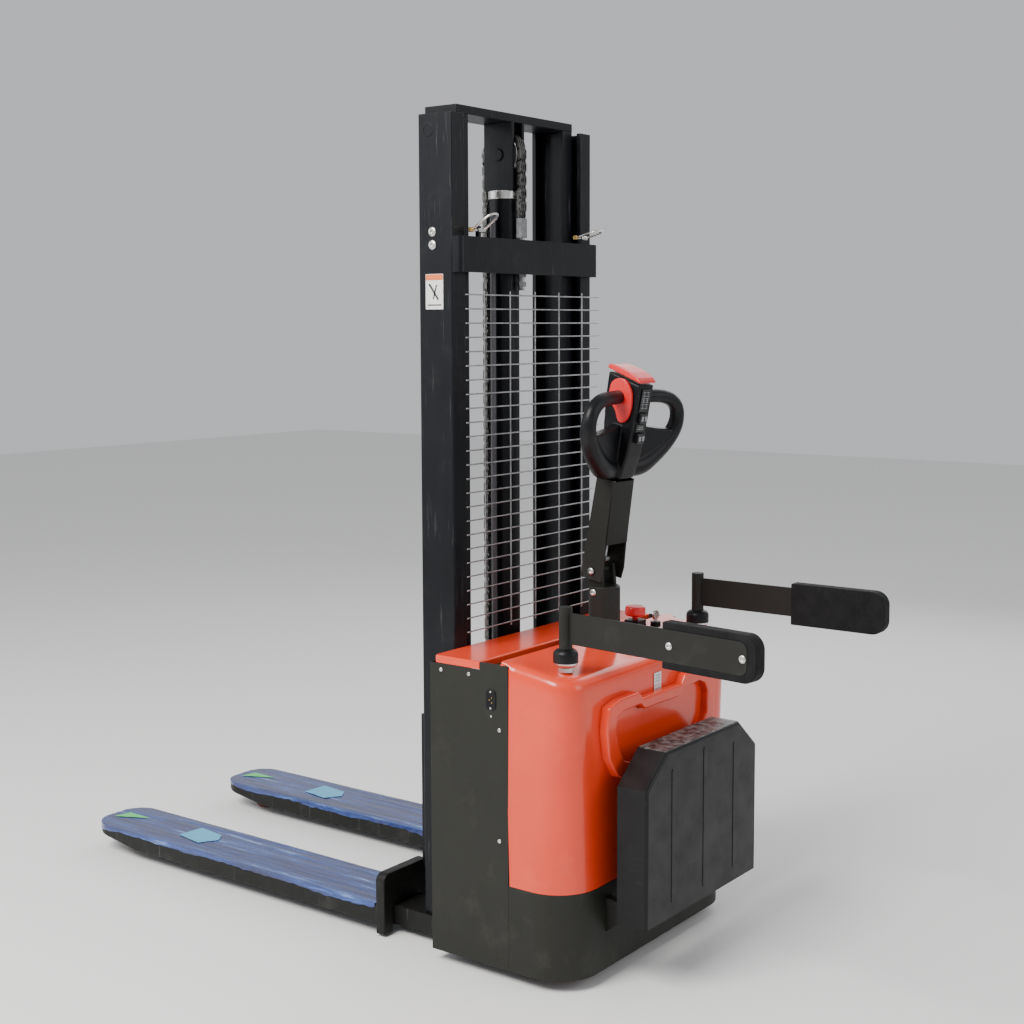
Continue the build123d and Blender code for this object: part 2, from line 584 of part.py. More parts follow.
def main_cover():
    """Motor cover: hood open to the front and below, with a sloping top and a sunk rear panel."""
    low = SKIRT_TOP + SEAM

    def hood(inset):
        half = BODY_HALF - inset
        front = COVER_FRONT_Y + inset
        foot = rounded_rear(half, front, BODY_REAR_Y + inset, BODY_CORNER - inset, low)
        head = rounded_rear(half, front, BODY_REAR_Y + 6 + inset,
                            COVER_TOP_CORNER - inset, COVER_TOP + 20)
        solid = loft([foot, head])
        drop = (COVER_TOP - COVER_TOP_REAR) / (COVER_FRONT_Y - BODY_REAR_Y)
        top_front = COVER_TOP - inset + drop * 30
        rear_end = BODY_REAR_Y - 30
        top_rear = COVER_TOP_REAR - inset - drop * 30
        above = [(COVER_FRONT_Y + 30, top_front), (rear_end, top_rear),
                 (rear_end, COVER_TOP + 60), (COVER_FRONT_Y + 30, COVER_TOP + 60)]
        return solid - prism_x(above, -BODY_HALF - 1, BODY_HALF + 1)

    outer = hood(0)
    recess = [(-205, 650), (-150, 690), (150, 690), (205, 650), (205, 520), (120, 450),
              (-120, 450), (-205, 520)]
    outer -= prism_y(recess, BODY_REAR_Y - 5, BODY_REAR_Y + 12)
    inside = hood(COVER_WALL)
    inside -= prism_y([(x * 1.04, z + (4 if z > 600 else -4)) for x, z in recess],
                      BODY_REAR_Y - 5, BODY_REAR_Y + 12 + COVER_WALL)
    shell = outer - inside
    return shell - rod_z(0, STEER_Y, COVER_TOP - 60, COVER_TOP + 40, COVER_HOLE_DIA)


def charge_socket():
    """Oval mains inlet let into the left panel."""
    x = -BODY_HALF
    plate = block(x - 2, x, SOCKET_Y - 15, SOCKET_Y + 15, SOCKET_Z - 25, SOCKET_Z + 25)
    plate = fillet(plate.edges().filter_by(Axis.X), 12)
    return plate - block(x - 3, x - 0.8, SOCKET_Y - 8, SOCKET_Y + 8, SOCKET_Z - 13, SOCKET_Z + 13)


def screws():
    """Round-head screws of the side panels and the mast, each a solid of its own."""
    heads = []
    spots = [(-24, 741), (-110, 741), (-202, 617), (-201, 346)]
    for side in (-1, 1):
        for y, z in spots:
            x0, x1 = sorted((side * BODY_HALF, side * (BODY_HALF + SCREW_HEAD)))
            heads.append(rod_x(x0, x1, y, z, SCREW_DIA))
        for z in (CROSSBAR_TOP + 12, CROSSBAR_TOP - 20):
            x0, x1 = sorted((side * OUTER_HALF, side * (OUTER_HALF + 4)))
            heads.append(rod_x(x0, x1, 62, z, 24))
    return Compound(children=[solid for head in heads for solid in head.solids()])


def battery(side):
    x0, x1 = sorted((side * 12, side * 342))
    case = block(x0, x1, -176, -10, BATTERY_FOOT, BATTERY_FOOT + 220)
    case = fillet(case.edges().filter_by(Axis.Z), 8)
    for dx in (60, 270):
        case += rod_z(x0 + dx, -120, BATTERY_FOOT + 220, BATTERY_FOOT + 234, 18)
    return case


def battery_shelf():
    """Shelf on two feet that carries the batteries in front of the drive motor."""
    shelf = block(-360, 360, -178, -8, BATTERY_FOOT - 8, BATTERY_FOOT)
    for side in (-1, 1):
        x0, x1 = sorted((side * 352, side * 360))
        shelf += block(x0, x1, -140, -40, DECK_Z - DECK_THICK, BATTERY_FOOT - 8)
    return shelf


def pump_unit():
    """Oil tank, valve block and pump motor, standing on the floor plate."""
    tank = block(200, 350, -190, -80, DECK_Z, 300)
    tank = fillet(tank.edges().filter_by(Axis.Z), 12)
    valve = block(225, 325, -180, -95, 300, 350)
    return tank + valve + rod_z(275, -137, 350, 450, 84)


def motor_controller():
    body = block(-345, -205, -185, -75, DECK_Z, 200)
    for index in range(7):
        x = -335 + index * 20
        body += block(x, x + 6, -180, -80, 200, 225)
    return body


def stop_base():
    base = block(STOP_X - 22, STOP_X + 22, STOP_Y - 22, STOP_Y + 22, cover_top_at(STOP_Y + 22), 806)
    base = fillet(base.edges().filter_by(Axis.Z), 5)
    return base - rod_z(STOP_X, STOP_Y, 789, 820, 16 + 2 * RUN_CLEAR)


def cover_top_at(y):
    """Height of the cover's sloping top at a place along Y."""
    drop = (COVER_TOP - COVER_TOP_REAR) / (COVER_FRONT_Y - BODY_REAR_Y)
    return COVER_TOP + (y - COVER_FRONT_Y) * drop


def stop_button():
    """Palm button of the power cut-out, pressed down to switch off."""
    stem = rod_z(STOP_X, STOP_Y, 798, 816, 16)
    knob = rod_z(STOP_X, STOP_Y, 816, 842, 54)
    return stem + fillet(knob.edges().filter_by(GeomType.CIRCLE), 7)


def key_switch():
    z0 = cover_top_at(KEY_Y + 14)
    barrel = rod_z(KEY_X, KEY_Y, z0, z0 + 14, 28)
    return barrel - rod_z(KEY_X, KEY_Y, z0 + 4, z0 + 20, 6 + 2 * RUN_CLEAR)


def ignition_key():
    z0 = cover_top_at(KEY_Y + 14)
    blade = rod_z(KEY_X, KEY_Y, z0 + 6, z0 + 20, 6)
    bow = rod_y(KEY_X, KEY_Y - 3, KEY_Y + 3, z0 + 31, 26)
    bow -= rod_y(KEY_X, KEY_Y - 4, KEY_Y + 4, z0 + 37, 7)
    return blade + bow


def mesh_guard():
    """Wire guard behind the mast, with cross wires on five uprights and four fixing tabs."""
    y, wire = MESH_Y, MESH_WIRE
    pitch = (MESH_TOP - MESH_BOTTOM) / (MESH_WIRES - 1)
    first = -MESH_COLUMN_PITCH * (MESH_COLUMNS - 1) / 2
    guard = block(first, first + wire, y + wire - 1, y + 2 * wire - 1, MESH_BOTTOM - 12, MESH_TOP + 8)
    for index in range(1, MESH_COLUMNS):
        x = first + index * MESH_COLUMN_PITCH
        guard += block(x, x + wire, y + wire - 1, y + 2 * wire - 1, MESH_BOTTOM - 12, MESH_TOP + 8)
    rows = [block(-MESH_HALF, MESH_HALF, y, y + wire, MESH_BOTTOM + row * pitch,
                  MESH_BOTTOM + row * pitch + wire) for row in range(MESH_WIRES)]
    guard = guard + rows
    for side in (-1, 1):
        for row in (2, MESH_WIRES - 4):
            z = MESH_BOTTOM + row * pitch
            x0, x1 = sorted((side * (MESH_HALF - 24), side * MESH_HALF))
            guard += block(x0, x1, y + wire, 0, z - 10, z + 16)
    return guard


# ---- steering column and drive ---------------------------------------------------------------
def drive_gearbox():
    """Turntable column, gearbox beside the wheel and the axle that carries it."""
    z = DRIVE_WHEEL_DIA / 2
    column = rod_z(0, STEER_Y, 238, BRIDGE_Z + BRIDGE_THICK + 4, COLUMN_DIA)
    flange = rod_z(0, STEER_Y, 236, BRIDGE_Z - 2, 200)
    half = DRIVE_WHEEL_WIDTH / 2
    box = block(half + 6, 92, STEER_Y - 60, STEER_Y + 60, 62, 238)
    box = fillet(box.edges().filter_by(Axis.Z), 10)
    axle = rod_x(-half - 4, half + 8, STEER_Y, z, DRIVE_AXLE_DIA)
    return column + flange + box + axle


def drive_wheel():
    z = DRIVE_WHEEL_DIA / 2
    half = DRIVE_WHEEL_WIDTH / 2
    wheel = rod_x(-half, half, STEER_Y, z, DRIVE_WHEEL_DIA)
    wheel = fillet(wheel.edges().filter_by(GeomType.CIRCLE), 6)
    return wheel - rod_x(-half - 1, half + 1, STEER_Y, z, DRIVE_AXLE_DIA + 2 * RUN_CLEAR)


def drive_motor():
    low = BRIDGE_Z + BRIDGE_THICK + 4
    motor = rod_z(0, STEER_Y, low, MOTOR_TOP, MOTOR_DIA)
    motor = fillet(motor.edges().filter_by(GeomType.CIRCLE).group_by(Axis.Z)[-1], 10)
    for z in range(300, 420, 16):
        ring = rod_z(0, STEER_Y, z, z + 6, MOTOR_DIA + 10)
        motor += ring
    return motor


def tiller_base():
    """Steering shaft, its housing above the cover, and two ears with the tilt pin fast in them."""
    shaft = rod_z(0, STEER_Y, MOTOR_TOP, TILLER_BASE_FOOT, SHAFT_DIA)
    drum = rod_z(0, STEER_Y, TILLER_BASE_FOOT, TILLER_BASE_TOP, COLUMN_DIA)
    drum = chamfer(drum.edges().filter_by(GeomType.CIRCLE).group_by(Axis.Z)[-1], 3)
    ears = None
    for side in (-1, 1):
        x0, x1 = sorted((side * EAR_HALF, side * (EAR_HALF - 10)))
        outline = [(TILT_Y - 22, TILLER_BASE_TOP - 1), (TILT_Y - 16, TILT_Z + 14),
                   (TILT_Y + 16, TILT_Z + 14), (TILT_Y + 22, TILLER_BASE_TOP - 1)]
        ear = prism_x(outline, x0, x1)
        ears = ear if ears is None else ears + ear
    solid = shaft + drum + ears
    reach = ARM_HALF + 4
    return solid + rod_x(-reach, reach, TILT_Y, TILT_Z, TILT_PIN_DIA)


# ---- tiller, drawn along its own axis and then leaned back -------------------------------------
def tiller_arm():
    """Folded steel channel, closed by a plate on the operator's side of its upper part."""
    side_low = [(34, -22), (-30, -22), (-34, 8), (-30, 70), (-26, ARM_TOP), (24, ARM_TOP), (30, 70)]
    inner_half = ARM_HALF - ARM_SHEET
    arm = prism_x(side_low, -ARM_HALF, ARM_HALF)
    arm -= block(-inner_half, inner_half, -60, 20, -40, ARM_TOP + 1)
    front = prism_x([(-33, 74), (-26, ARM_TOP - 4), (-22, ARM_TOP - 4), (-29, 74)],
                    -inner_half - 1, inner_half + 1)
    arm -= block(-inner_half, inner_half, 20, 60, -40, 26)
    arm += front
    return arm - rod_x(-60, 60, 0, 0, TILT_PIN_DIA + 2 * RUN_CLEAR)


def gas_spring():
    """Gas strut inside the arm that lifts the tiller upright."""
    tube = rod_z(0, -2, 90, 226, 22)
    rod = rod_z(0, -2, 34, 90, 10)
    eye = rod_x(-8, 8, -2, 28, 18)
    top_pin = rod_x(-ARM_HALF + ARM_SHEET, ARM_HALF - ARM_SHEET, -2, 214, 10)
    return tube + rod + eye + top_pin


def head_outline():
    """Half outline of the head seen by the operator: bulb below, grip loop above."""
    return [(0, HEAD_LOW), (62, HEAD_LOW + 6), (104, HEAD_LOW + 42), (150, HEAD_LOW + 92),
            (HEAD_HALF - 8, HEAD_LOW + 138), (HEAD_HALF, HEAD_LOW + 170),
            (HEAD_HALF - 6, HEAD_LOW + 198), (HEAD_HALF - 30, HEAD_LOW + 220),
            (HEAD_HALF - 62, HEAD_LOW + 226), (0, HEAD_LOW + 230)]


def tiller_head():
    """Moulded steering head with two closed grip loops and a raised control column."""
    wing_axis = Axis((0, 0, 0), (0, 0, 1))
    window = [(COLUMN_HALF + 10, HEAD_LOW + 134), (HEAD_HALF - 60, HEAD_LOW + 134),
              (HEAD_HALF - 42, HEAD_LOW + 148), (HEAD_HALF - 38, HEAD_LOW + 170),
              (HEAD_HALF - 50, HEAD_LOW + 186), (COLUMN_HALF + 10, HEAD_LOW + 190)]
    right = prism_y(head_outline(), -20, 20) - prism_y(window, -40, 40)
    right = right.rotate(wing_axis, -HEAD_SWEEP)
    body = right + left_of(right)
    spine = prism_x([(34, HEAD_LOW + 4), (-36, HEAD_LOW + 4), (-50, HEAD_LOW + 100),
                     (-56, HEAD_TOP - 22), (44, HEAD_TOP), (40, HEAD_LOW + 120)],
                    -COLUMN_HALF, COLUMN_HALF)
    head = body + spine
    for sign in (-1, 1):
        x0, x1 = sorted((sign * COLUMN_HALF, sign * (COLUMN_HALF + WING_SLOT)))
        head -= block(x0, x1, -80, 80, HEAD_LOW + 130, HEAD_TOP + 40)
        head += rod_x(x0, x1, 0, GRIP_Z, GRIP_DIA)
    head -= block(-14.5, 14.5, -80, -40, HEAD_LOW + 150, HEAD_LOW + 176)
    head -= block(-14.5, 14.5, -80, -40, HEAD_LOW + 100, HEAD_LOW + 126)
    return head


def throttle_wings():
    """Butterfly throttle: two wings that turn together on the grip bars, beside the column."""
    outline = [(24, 8), (12, 44), (-18, 40), (-42, 4), (-40, -38), (-26, -56), (-12, -44), (24, -24)]
    wings = []
    start = COLUMN_HALF + (WING_SLOT - WING_THICK) / 2
    bore = GRIP_DIA + 2 * RUN_CLEAR
    for side in (-1, 1):
        x0, x1 = sorted((side * start, side * (start + WING_THICK)))
        wing = prism_x([(y, GRIP_Z + z) for y, z in outline], x0, x1)
        wing -= rod_x(x0 - 1, x1 + 1, 0, GRIP_Z, bore)
        wings += wing.solids()
    return Compound(children=wings)


def belly_button():
    """Reversing button that caps the column and is pushed in towards the pivot."""
    gap = 5.5
    cap = prism_x([(46, HEAD_TOP + gap), (-58, HEAD_TOP - 23 + gap), (-56, HEAD_TOP - 12 + gap),
                   (-20, HEAD_TOP + 12 + gap), (20, HEAD_TOP + 18 + gap), (46, HEAD_TOP + 14 + gap)],
                  -COLUMN_HALF - 2, COLUMN_HALF + 2)
    return cap


def control_button(z0):
    """Push button in the operator's face of the column."""
    button = block(-14, 14, -62, -45, HEAD_LOW + z0 + 0.5, HEAD_LOW + z0 + 25.5)
    return fillet(button.edges().filter_by(Axis.Y), 3)


# ---- castors ---------------------------------------------------------------------------------
def castor_fork():
    x, y = CASTOR_X, CASTOR_Y
    axle_z = CASTOR_WHEEL_DIA / 2
    half = CASTOR_WHEEL_WIDTH / 2
    fork_solid = rod_z(x, y, 118, CASTOR_HEAD_Z - 1, 64)
    fork_solid += rod_z(x, y, CASTOR_HEAD_Z - 2, DECK_Z - 4, CASTOR_PIN_DIA)
    for side in (-1, 1):
        x0, x1 = sorted((x + side * (half + 2), x + side * (half + 7)))
        cheek = prism_x([(y + 28, 118), (y - 28, 118), (y - CASTOR_TRAIL - 14, axle_z - 10),
                         (y - CASTOR_TRAIL + 14, axle_z - 10)], x0, x1)
        fork_solid += cheek
    return fork_solid + rod_x(x - half - 6, x + half + 6, y - CASTOR_TRAIL, axle_z, CASTOR_AXLE_DIA)


def castor_wheel():
    x, y = CASTOR_X, CASTOR_Y - CASTOR_TRAIL
    half = CASTOR_WHEEL_WIDTH / 2
    z = CASTOR_WHEEL_DIA / 2
    wheel = rod_x(x - half, x + half, y, z, CASTOR_WHEEL_DIA)
    wheel = fillet(wheel.edges().filter_by(GeomType.CIRCLE), 5)
    return wheel - rod_x(x - half - 1, x + half + 1, y, z, CASTOR_AXLE_DIA + 2 * RUN_CLEAR)


# ---- operator's platform ---------------------------------------------------------------------
def platform_outline(inset):
    low = PLATFORM_FOOT + inset
    high = PLATFORM_FOOT + PLATFORM_HEIGHT - inset
    half = PLATFORM_HALF - inset
    top = PLATFORM_TOP_HALF - inset * 0.4
    step = high - PLATFORM_CHAMFER + inset * 0.4
    return [(-half, low), (half, low), (half, step), (top, high), (-top, high), (-half, step)]


def platform_plate():
    """Folded pan, stored upright, with two lugs that turn on the bracket pins."""
    front = PLATFORM_REAR_Y + PLATFORM_DEPTH
    pan = prism_y(platform_outline(0), PLATFORM_REAR_Y, front)
    pan -= prism_y(platform_outline(PLATFORM_SHEET), PLATFORM_REAR_Y + PLATFORM_SHEET, front + 1)
    for side in (-1, 1):
        x0, x1 = sorted((side * BRACKET_X, side * (BRACKET_X - LUG_THICK)))
        lug = prism_x([(PLATFORM_REAR_Y + 2, PLATFORM_FOOT + 2), (PLATFORM_REAR_Y + 2, PLATFORM_FOOT + 110),
                       (PLATFORM_PIVOT_Y + 12, PLATFORM_PIVOT_Z + 14),
                       (PLATFORM_PIVOT_Y + 12, PLATFORM_PIVOT_Z - 12),
                       (PLATFORM_PIVOT_Y - 14, PLATFORM_FOOT + 2)], x0, x1)
        n0, n1 = sorted((side * (BRACKET_X + BRACKET_PLATE + 6),
                         side * (BRACKET_X - LUG_THICK - BRACKET_PLATE - 8)))
        notch = block(n0, n1, PLATFORM_REAR_Y + 8, front + 1, 0, PLATFORM_FOOT + PLATFORM_SHEET + 1)
        pan -= notch
        pan += lug
    hole = PLATFORM_PIN_DIA + 2 * RUN_CLEAR
    return pan - rod_x(-BRACKET_X - 5, BRACKET_X + 5, PLATFORM_PIVOT_Y, PLATFORM_PIVOT_Z, hole)


def platform_bracket():
    """Right bracket: two cheeks behind the skirt and the pivot pin between them."""
    y, z = PLATFORM_PIVOT_Y, PLATFORM_PIVOT_Z
    gap = 1.0
    solid = None
    inner_face = BRACKET_X - LUG_THICK - gap
    for x0, x1 in ((inner_face - BRACKET_PLATE, inner_face),
                   (BRACKET_X + gap, BRACKET_X + gap + BRACKET_PLATE)):
        cheek = prism_x([(BODY_REAR_Y, z - 60), (BODY_REAR_Y, z + 24), (y + 4, z + 15),
                         (y - 10, z + 10), (y - 12, z - 12)], x0, x1)
        solid = cheek if solid is None else solid + cheek
    pin = rod_x(inner_face - BRACKET_PLATE - 3, BRACKET_X + gap + BRACKET_PLATE + 3, y, z,
                PLATFORM_PIN_DIA)
    return solid + pin


# ---- guard arms ------------------------------------------------------------------------------
def guard_arm():
    """Right arm: turning post and flat plate that points back past the operator."""
    post = rod_z(POST_X, POST_Y, POST_FOOT, POST_TOP, POST_DIA)
    end = POST_Y - GUARD_LENGTH + PAD_END_MARGIN
    half = GUARD_PLATE_THICK / 2
    plate = block(POST_X - half, POST_X + half, end, POST_Y, GUARD_PLATE_LOW, GUARD_PLATE_TOP)
    plate = fillet(plate.edges().filter_by(Axis.X).group_by(Axis.Y)[0], 20)
    return post + plate


def guard_pad():
    """Foam pad on the inner side of the plate, moulded round the plate's edge."""
    outer = POST_X + GUARD_PLATE_THICK / 2
    end = POST_Y - GUARD_LENGTH
    low, high = PAD_MID_Z - PAD_HEIGHT / 2, PAD_MID_Z + PAD_HEIGHT / 2
    pad = block(outer - PAD_THICK, outer, end, end + PAD_LENGTH, low, high)
    pad = fillet(pad.edges().filter_by(Axis.X).group_by(Axis.Y)[0], 34)
    return pad - guard_arm()


def arm_boot():
    """Rubber boot at the foot of a guard-arm post."""
    boot = rod_z(POST_X, POST_Y, POST_FOOT, BOOT_TOP, BOOT_DIA)
    boot = fillet(boot.edges().filter_by(GeomType.CIRCLE), 14)
    socket = rod_z(POST_X, POST_Y, cover_top_at(POST_Y) + 5, POST_FOOT, 38)
    bore = POST_DIA + 2 * BOOT_CLEAR
    return boot + socket - rod_z(POST_X, POST_Y, POST_FOOT, BOOT_TOP + 1, bore)


# ---- assembly --------------------------------------------------------------------------------
def turned(shape):
    """Shape of the steered unit, turned to its parked angle about the steering axis."""
    axis = Axis((0, STEER_Y, 0), (0, 0, 1))
    return shape.rotate(axis, STEER_AT_REST)


def leaned(shape):
    """Tiller piece drawn along its own axis, put on the tilt pivot and turned."""
    return turned(TILT_STEP * shape)


def left_of(shape):
    return mirror(shape, Plane.YZ)


def splayed(shape):
    """Left guard arm piece, swung out about its post."""
    axis = Axis((-POST_X, POST_Y, 0), (0, 0, 1))
    return left_of(shape).rotate(axis, -LEFT_SPLAY)


keep("chassis_frame", chassis_frame())
keep("support_legs", support_leg() + Pos(-2 * LEG_MID, 0, 0) * support_leg())
keep("load_rollers", both_sides(load_roller()))
keep("outer_channels", both_sides(outer_channel()))
keep("mast_crossbar", mast_crossbar())
shackles = lifting_shackle(-1, SHACKLE_LEAN[0]).solids() + lifting_shackle(1, SHACKLE_LEAN[1]).solids()
keep("lifting_shackles", Compound(children=shackles))
keep("lift_cylinder", Compound(children=cylinder_tube().solids() + cylinder_gland().solids()))
keep("chain_anchor", chain_anchor())
keep("hydraulic_pipe", hydraulic_pipe())
keep("mesh_guard", mesh_guard())
keep("side_panels", both_sides(side_panel()))
keep("rear_skirt", rear_skirt())
keep("deck_strip", deck_strip())
keep("slot_plate", slot_plate())
keep("main_cover", main_cover())
keep("charge_socket", charge_socket())
keep("zinc_screws", screws())
keep("batteries", Compound(children=battery(-1).solids() + battery(1).solids()))
keep("pump_unit", pump_unit())
keep("motor_controller", motor_controller())
keep("stop_base", stop_base())
keep("stop_button", stop_button())
keep("key_switch", key_switch())
keep("ignition_key", ignition_key())
keep("platform_brackets", both_sides(platform_bracket()))
keep("platform_plate", platform_plate())
keep("arm_boots", both_sides(arm_boot()))
keep("right_guard_arm", guard_arm())
keep("right_arm_pad", guard_pad())
keep("left_guard_arm", splayed(guard_arm()))
keep("left_arm_pad", splayed(guard_pad()))

keep("inner_channels", both_sides(inner_channel()))
keep("inner_mast_ties", inner_ties())
keep("mast_rollers", both_sides(mast_rollers()))
keep("lift_rod", lift_rod())
keep("chain_wheel_block", chain_wheel_block())
keep("chain_wheel", chain_wheel())
keep("chain_wheel_pin", chain_wheel_pin())
rear_run, front_run = chain_runs()
keep("chain_rear_run", rear_run)
keep("chain_front_run", front_run)

keep("carriage_frame", carriage_frame())
keep("upper_carriage_rollers", both_sides(carriage_roller(CARRIAGE_ROLLER_Z[1])))
keep("lower_carriage_rollers", both_sides(carriage_roller(CARRIAGE_ROLLER_Z[0])))
keep("right_fork", fork())
keep("left_fork", left_of(fork()))

keep("drive_gearbox", turned(drive_gearbox()))
keep("drive_motor", turned(drive_motor()))
keep("drive_wheel", turned(drive_wheel()))
keep("tiller_base", turned(tiller_base()))
keep("tiller_arm", leaned(tiller_arm()))
keep("gas_spring", leaned(gas_spring()))
keep("tiller_head", leaned(tiller_head()))
keep("throttle_wings", leaned(throttle_wings()))
keep("belly_button", leaned(belly_button()))
keep("raise_button", leaned(control_button(150)))
keep("lower_button", leaned(control_button(100)))
for side, pick in (("left", left_of), ("right", lambda shape: shape)):
    keep(side + "_castor_fork", pick(castor_fork()))
    keep(side + "_castor_wheel", pick(castor_wheel()))

os.makedirs("parts", exist_ok=True)
for name, shape in PARTS.items():
    export_step(Pos(0, -ORIGIN_Y, 0) * shape, os.path.join("parts", name + ".step"))
print(len(PARTS), "nodes, origin at y =", ORIGIN_Y)
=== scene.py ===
# %% [markdown]
# # A walkie stacker, piece by piece
# An electric pallet stacker that a person walks behind, or rides on its fold-up platform. The
# engineered model comes in as a fixed frame: it gives every size and every moving body. Here each
# surface gets the finish and the small detail that the real one has.

# %% Load the frame
import bpy
import bmesh
import json
import math
from mathutils import Matrix, Vector, noise as value_noise


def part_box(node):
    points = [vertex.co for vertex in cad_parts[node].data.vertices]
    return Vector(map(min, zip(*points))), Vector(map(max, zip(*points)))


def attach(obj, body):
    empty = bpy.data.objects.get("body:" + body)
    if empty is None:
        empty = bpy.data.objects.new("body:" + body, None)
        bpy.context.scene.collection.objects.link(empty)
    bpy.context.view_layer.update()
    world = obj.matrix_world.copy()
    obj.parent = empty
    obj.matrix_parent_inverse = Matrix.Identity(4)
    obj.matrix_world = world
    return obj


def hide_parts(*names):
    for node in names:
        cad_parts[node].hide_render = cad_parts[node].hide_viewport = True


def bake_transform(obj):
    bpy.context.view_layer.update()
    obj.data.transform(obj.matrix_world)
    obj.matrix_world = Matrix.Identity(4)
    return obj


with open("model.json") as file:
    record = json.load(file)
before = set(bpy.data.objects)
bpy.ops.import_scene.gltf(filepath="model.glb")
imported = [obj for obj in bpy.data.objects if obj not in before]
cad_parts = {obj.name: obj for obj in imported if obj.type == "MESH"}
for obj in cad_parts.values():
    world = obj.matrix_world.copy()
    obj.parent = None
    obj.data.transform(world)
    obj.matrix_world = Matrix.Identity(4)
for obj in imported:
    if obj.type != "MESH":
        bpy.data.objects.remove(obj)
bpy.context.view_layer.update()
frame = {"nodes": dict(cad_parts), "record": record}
record = frame["record"]
body_of = {node: body for body, nodes in record["behaviour"]["bodies"].items() for node in nodes}

# %% [markdown]
# Sizes on this truck are easiest to think of from the mast: x across, y forwards from the rear face
# of the outer mast, z up from the floor, in millimetres. One helper turns such a place into metres.

# %% Places measured from the mast
MAST_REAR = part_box("outer_channels")[0][1]


def at(x, y, z):
    """A place in millimetres from the centre plane, the rear of the mast and the floor."""
    return Vector((x / 1000, MAST_REAR + y / 1000, z / 1000))


def linked(name, data):
    """New object in the scene."""
    piece = bpy.data.objects.new(name, data)
    bpy.context.collection.objects.link(piece)
    return piece


def to_mesh(shape, name, finish=None):
    """Mesh made from a bmesh, which is used up."""
    mesh = bpy.data.meshes.new(name)
    shape.to_mesh(mesh)
    shape.free()
    if finish:
        mesh.materials.append(finish)
    return mesh


def bridge(shape, first, second, closed=True):
    """Row of quads between two rows of points."""
    for i in range(len(first) if closed else len(first) - 1):
        j = (i + 1) % len(first)
        shape.faces.new((first[i], first[j], second[j], second[i]))


def slab(shape, outline, low, high, place):
    """Closed prism; place turns each outline point and a depth into a vector."""
    first = [shape.verts.new(place(p, low)) for p in outline]
    second = [shape.verts.new(place(p, high)) for p in outline]
    shape.faces.new(first[::-1])
    shape.faces.new(second)
    bridge(shape, first, second)


print("rear of the mast at y =", round(MAST_REAR, 4))

# %% [markdown]
# The camera stands behind the truck on its left, a little above the handle. It is aimed by its
# compass angle and its tilt, with a lens a bit longer than normal, so the tall mast stays upright.

# %% Camera
LENS_MM, SENSOR_MM, RISE = 54.24, 36.0, -0.0389
CAMERA_PLACE = (-3241.5, -2378.8, 1572.6)
HEADING, TILT, ROLL = -53.2, 90 - 5.4, -0.2
data = bpy.data.cameras.new("walkround_camera")
data.lens, data.sensor_width, data.shift_y = LENS_MM, SENSOR_MM, RISE
camera = linked("walkround_camera", data)
camera.matrix_world = Matrix.Translation(at(*CAMERA_PLACE))
for angle, axis in ((HEADING, "Z"), (TILT, "X"), (ROLL, "Z")):
    camera.matrix_world = camera.matrix_world @ Matrix.Rotation(math.radians(angle), 4, axis)
bpy.context.scene.camera = camera
print("camera at", [round(v, 3) for v in camera.matrix_world.translation])

# %% [markdown]
# A pale plain floor and wide soft lights show black paint best: dark surfaces are read from what
# they reflect, so a big panel on each side matters more than one bright lamp.

# %% Floor and light
FLOOR_HALF = 14.0
corners = [(x * FLOOR_HALF, y * FLOOR_HALF, 0) for x, y in ((-1, -1), (1, -1), (1, 1), (-1, 1))]
mesh = bpy.data.meshes.new("pale_floor")
mesh.from_pydata(corners, [], [(0, 1, 2, 3)])
floor = linked("pale_floor", mesh)
pale = bpy.data.materials.new("pale_floor")
pale.use_nodes = True
pale.node_tree.nodes["Principled BSDF"].inputs["Base Color"].default_value = (0.82, 0.82, 0.81, 1)
pale.node_tree.nodes["Principled BSDF"].inputs["Roughness"].default_value = 0.75
mesh.materials.append(pale)
for name, place, aim, size, power, tint in (
        ("key_light", (-3.4, 0.2, 4.0), (0, -0.3, 0.8), 2.2, 330, (1, 0.98, 0.95)),
        ("rear_fill", (1.2, -4.6, 2.6), (0, -0.4, 0.8), 3.0, 60, (1, 1, 1)),
        ("front_fill", (-2.6, 3.6, 2.4), (0, 0.3, 0.8), 3.0, 50, (0.95, 0.98, 1)),
        ("far_side", (4.0, 0.4, 2.8), (0, 0, 1.0), 3.0, 50, (1, 1, 1))):
    data = bpy.data.lights.new(name, "AREA")
    data.shape, data.size, data.energy, data.color = "SQUARE", size, power, tint
    lamp = linked(name, data)
    lamp.location = place
    lamp.rotation_euler = (Vector(aim) - Vector(place)).to_track_quat("-Z", "Y").to_euler()
world = bpy.data.worlds.new("studio")
bpy.context.scene.world = world
world.use_nodes = True
background = world.node_tree.nodes["Background"]
background.inputs["Color"].default_value = (0.96, 0.97, 1.0, 1)
background.inputs["Strength"].default_value = 0.62

# %% [markdown]
# Every finish is built from the same few parts: noise in the piece's own coordinates, a ramp that
# turns it into colour or roughness, and a bump. The helpers below keep each recipe short.

# %% Helpers for finishes
def start_finish(name):
    mat = bpy.data.materials.new(name)
    mat.use_nodes = True
    tree = mat.node_tree
    coords = tree.nodes.new("ShaderNodeTexCoord").outputs["Object"]
    return mat, tree, tree.nodes["Principled BSDF"], coords


def stretched(tree, coords, scale):
    node = tree.nodes.new("ShaderNodeMapping")
    node.inputs["Scale"].default_value = scale
    tree.links.new(coords, node.inputs["Vector"])
    return node.outputs["Vector"]


def mottle(tree, coords, scale, detail=5.0, roughness=0.6):
    node = tree.nodes.new("ShaderNodeTexNoise")
    node.inputs["Scale"].default_value = scale
    node.inputs["Detail"].default_value = detail
    node.inputs["Roughness"].default_value = roughness
    tree.links.new(coords, node.inputs["Vector"])
    return node.outputs["Fac"]


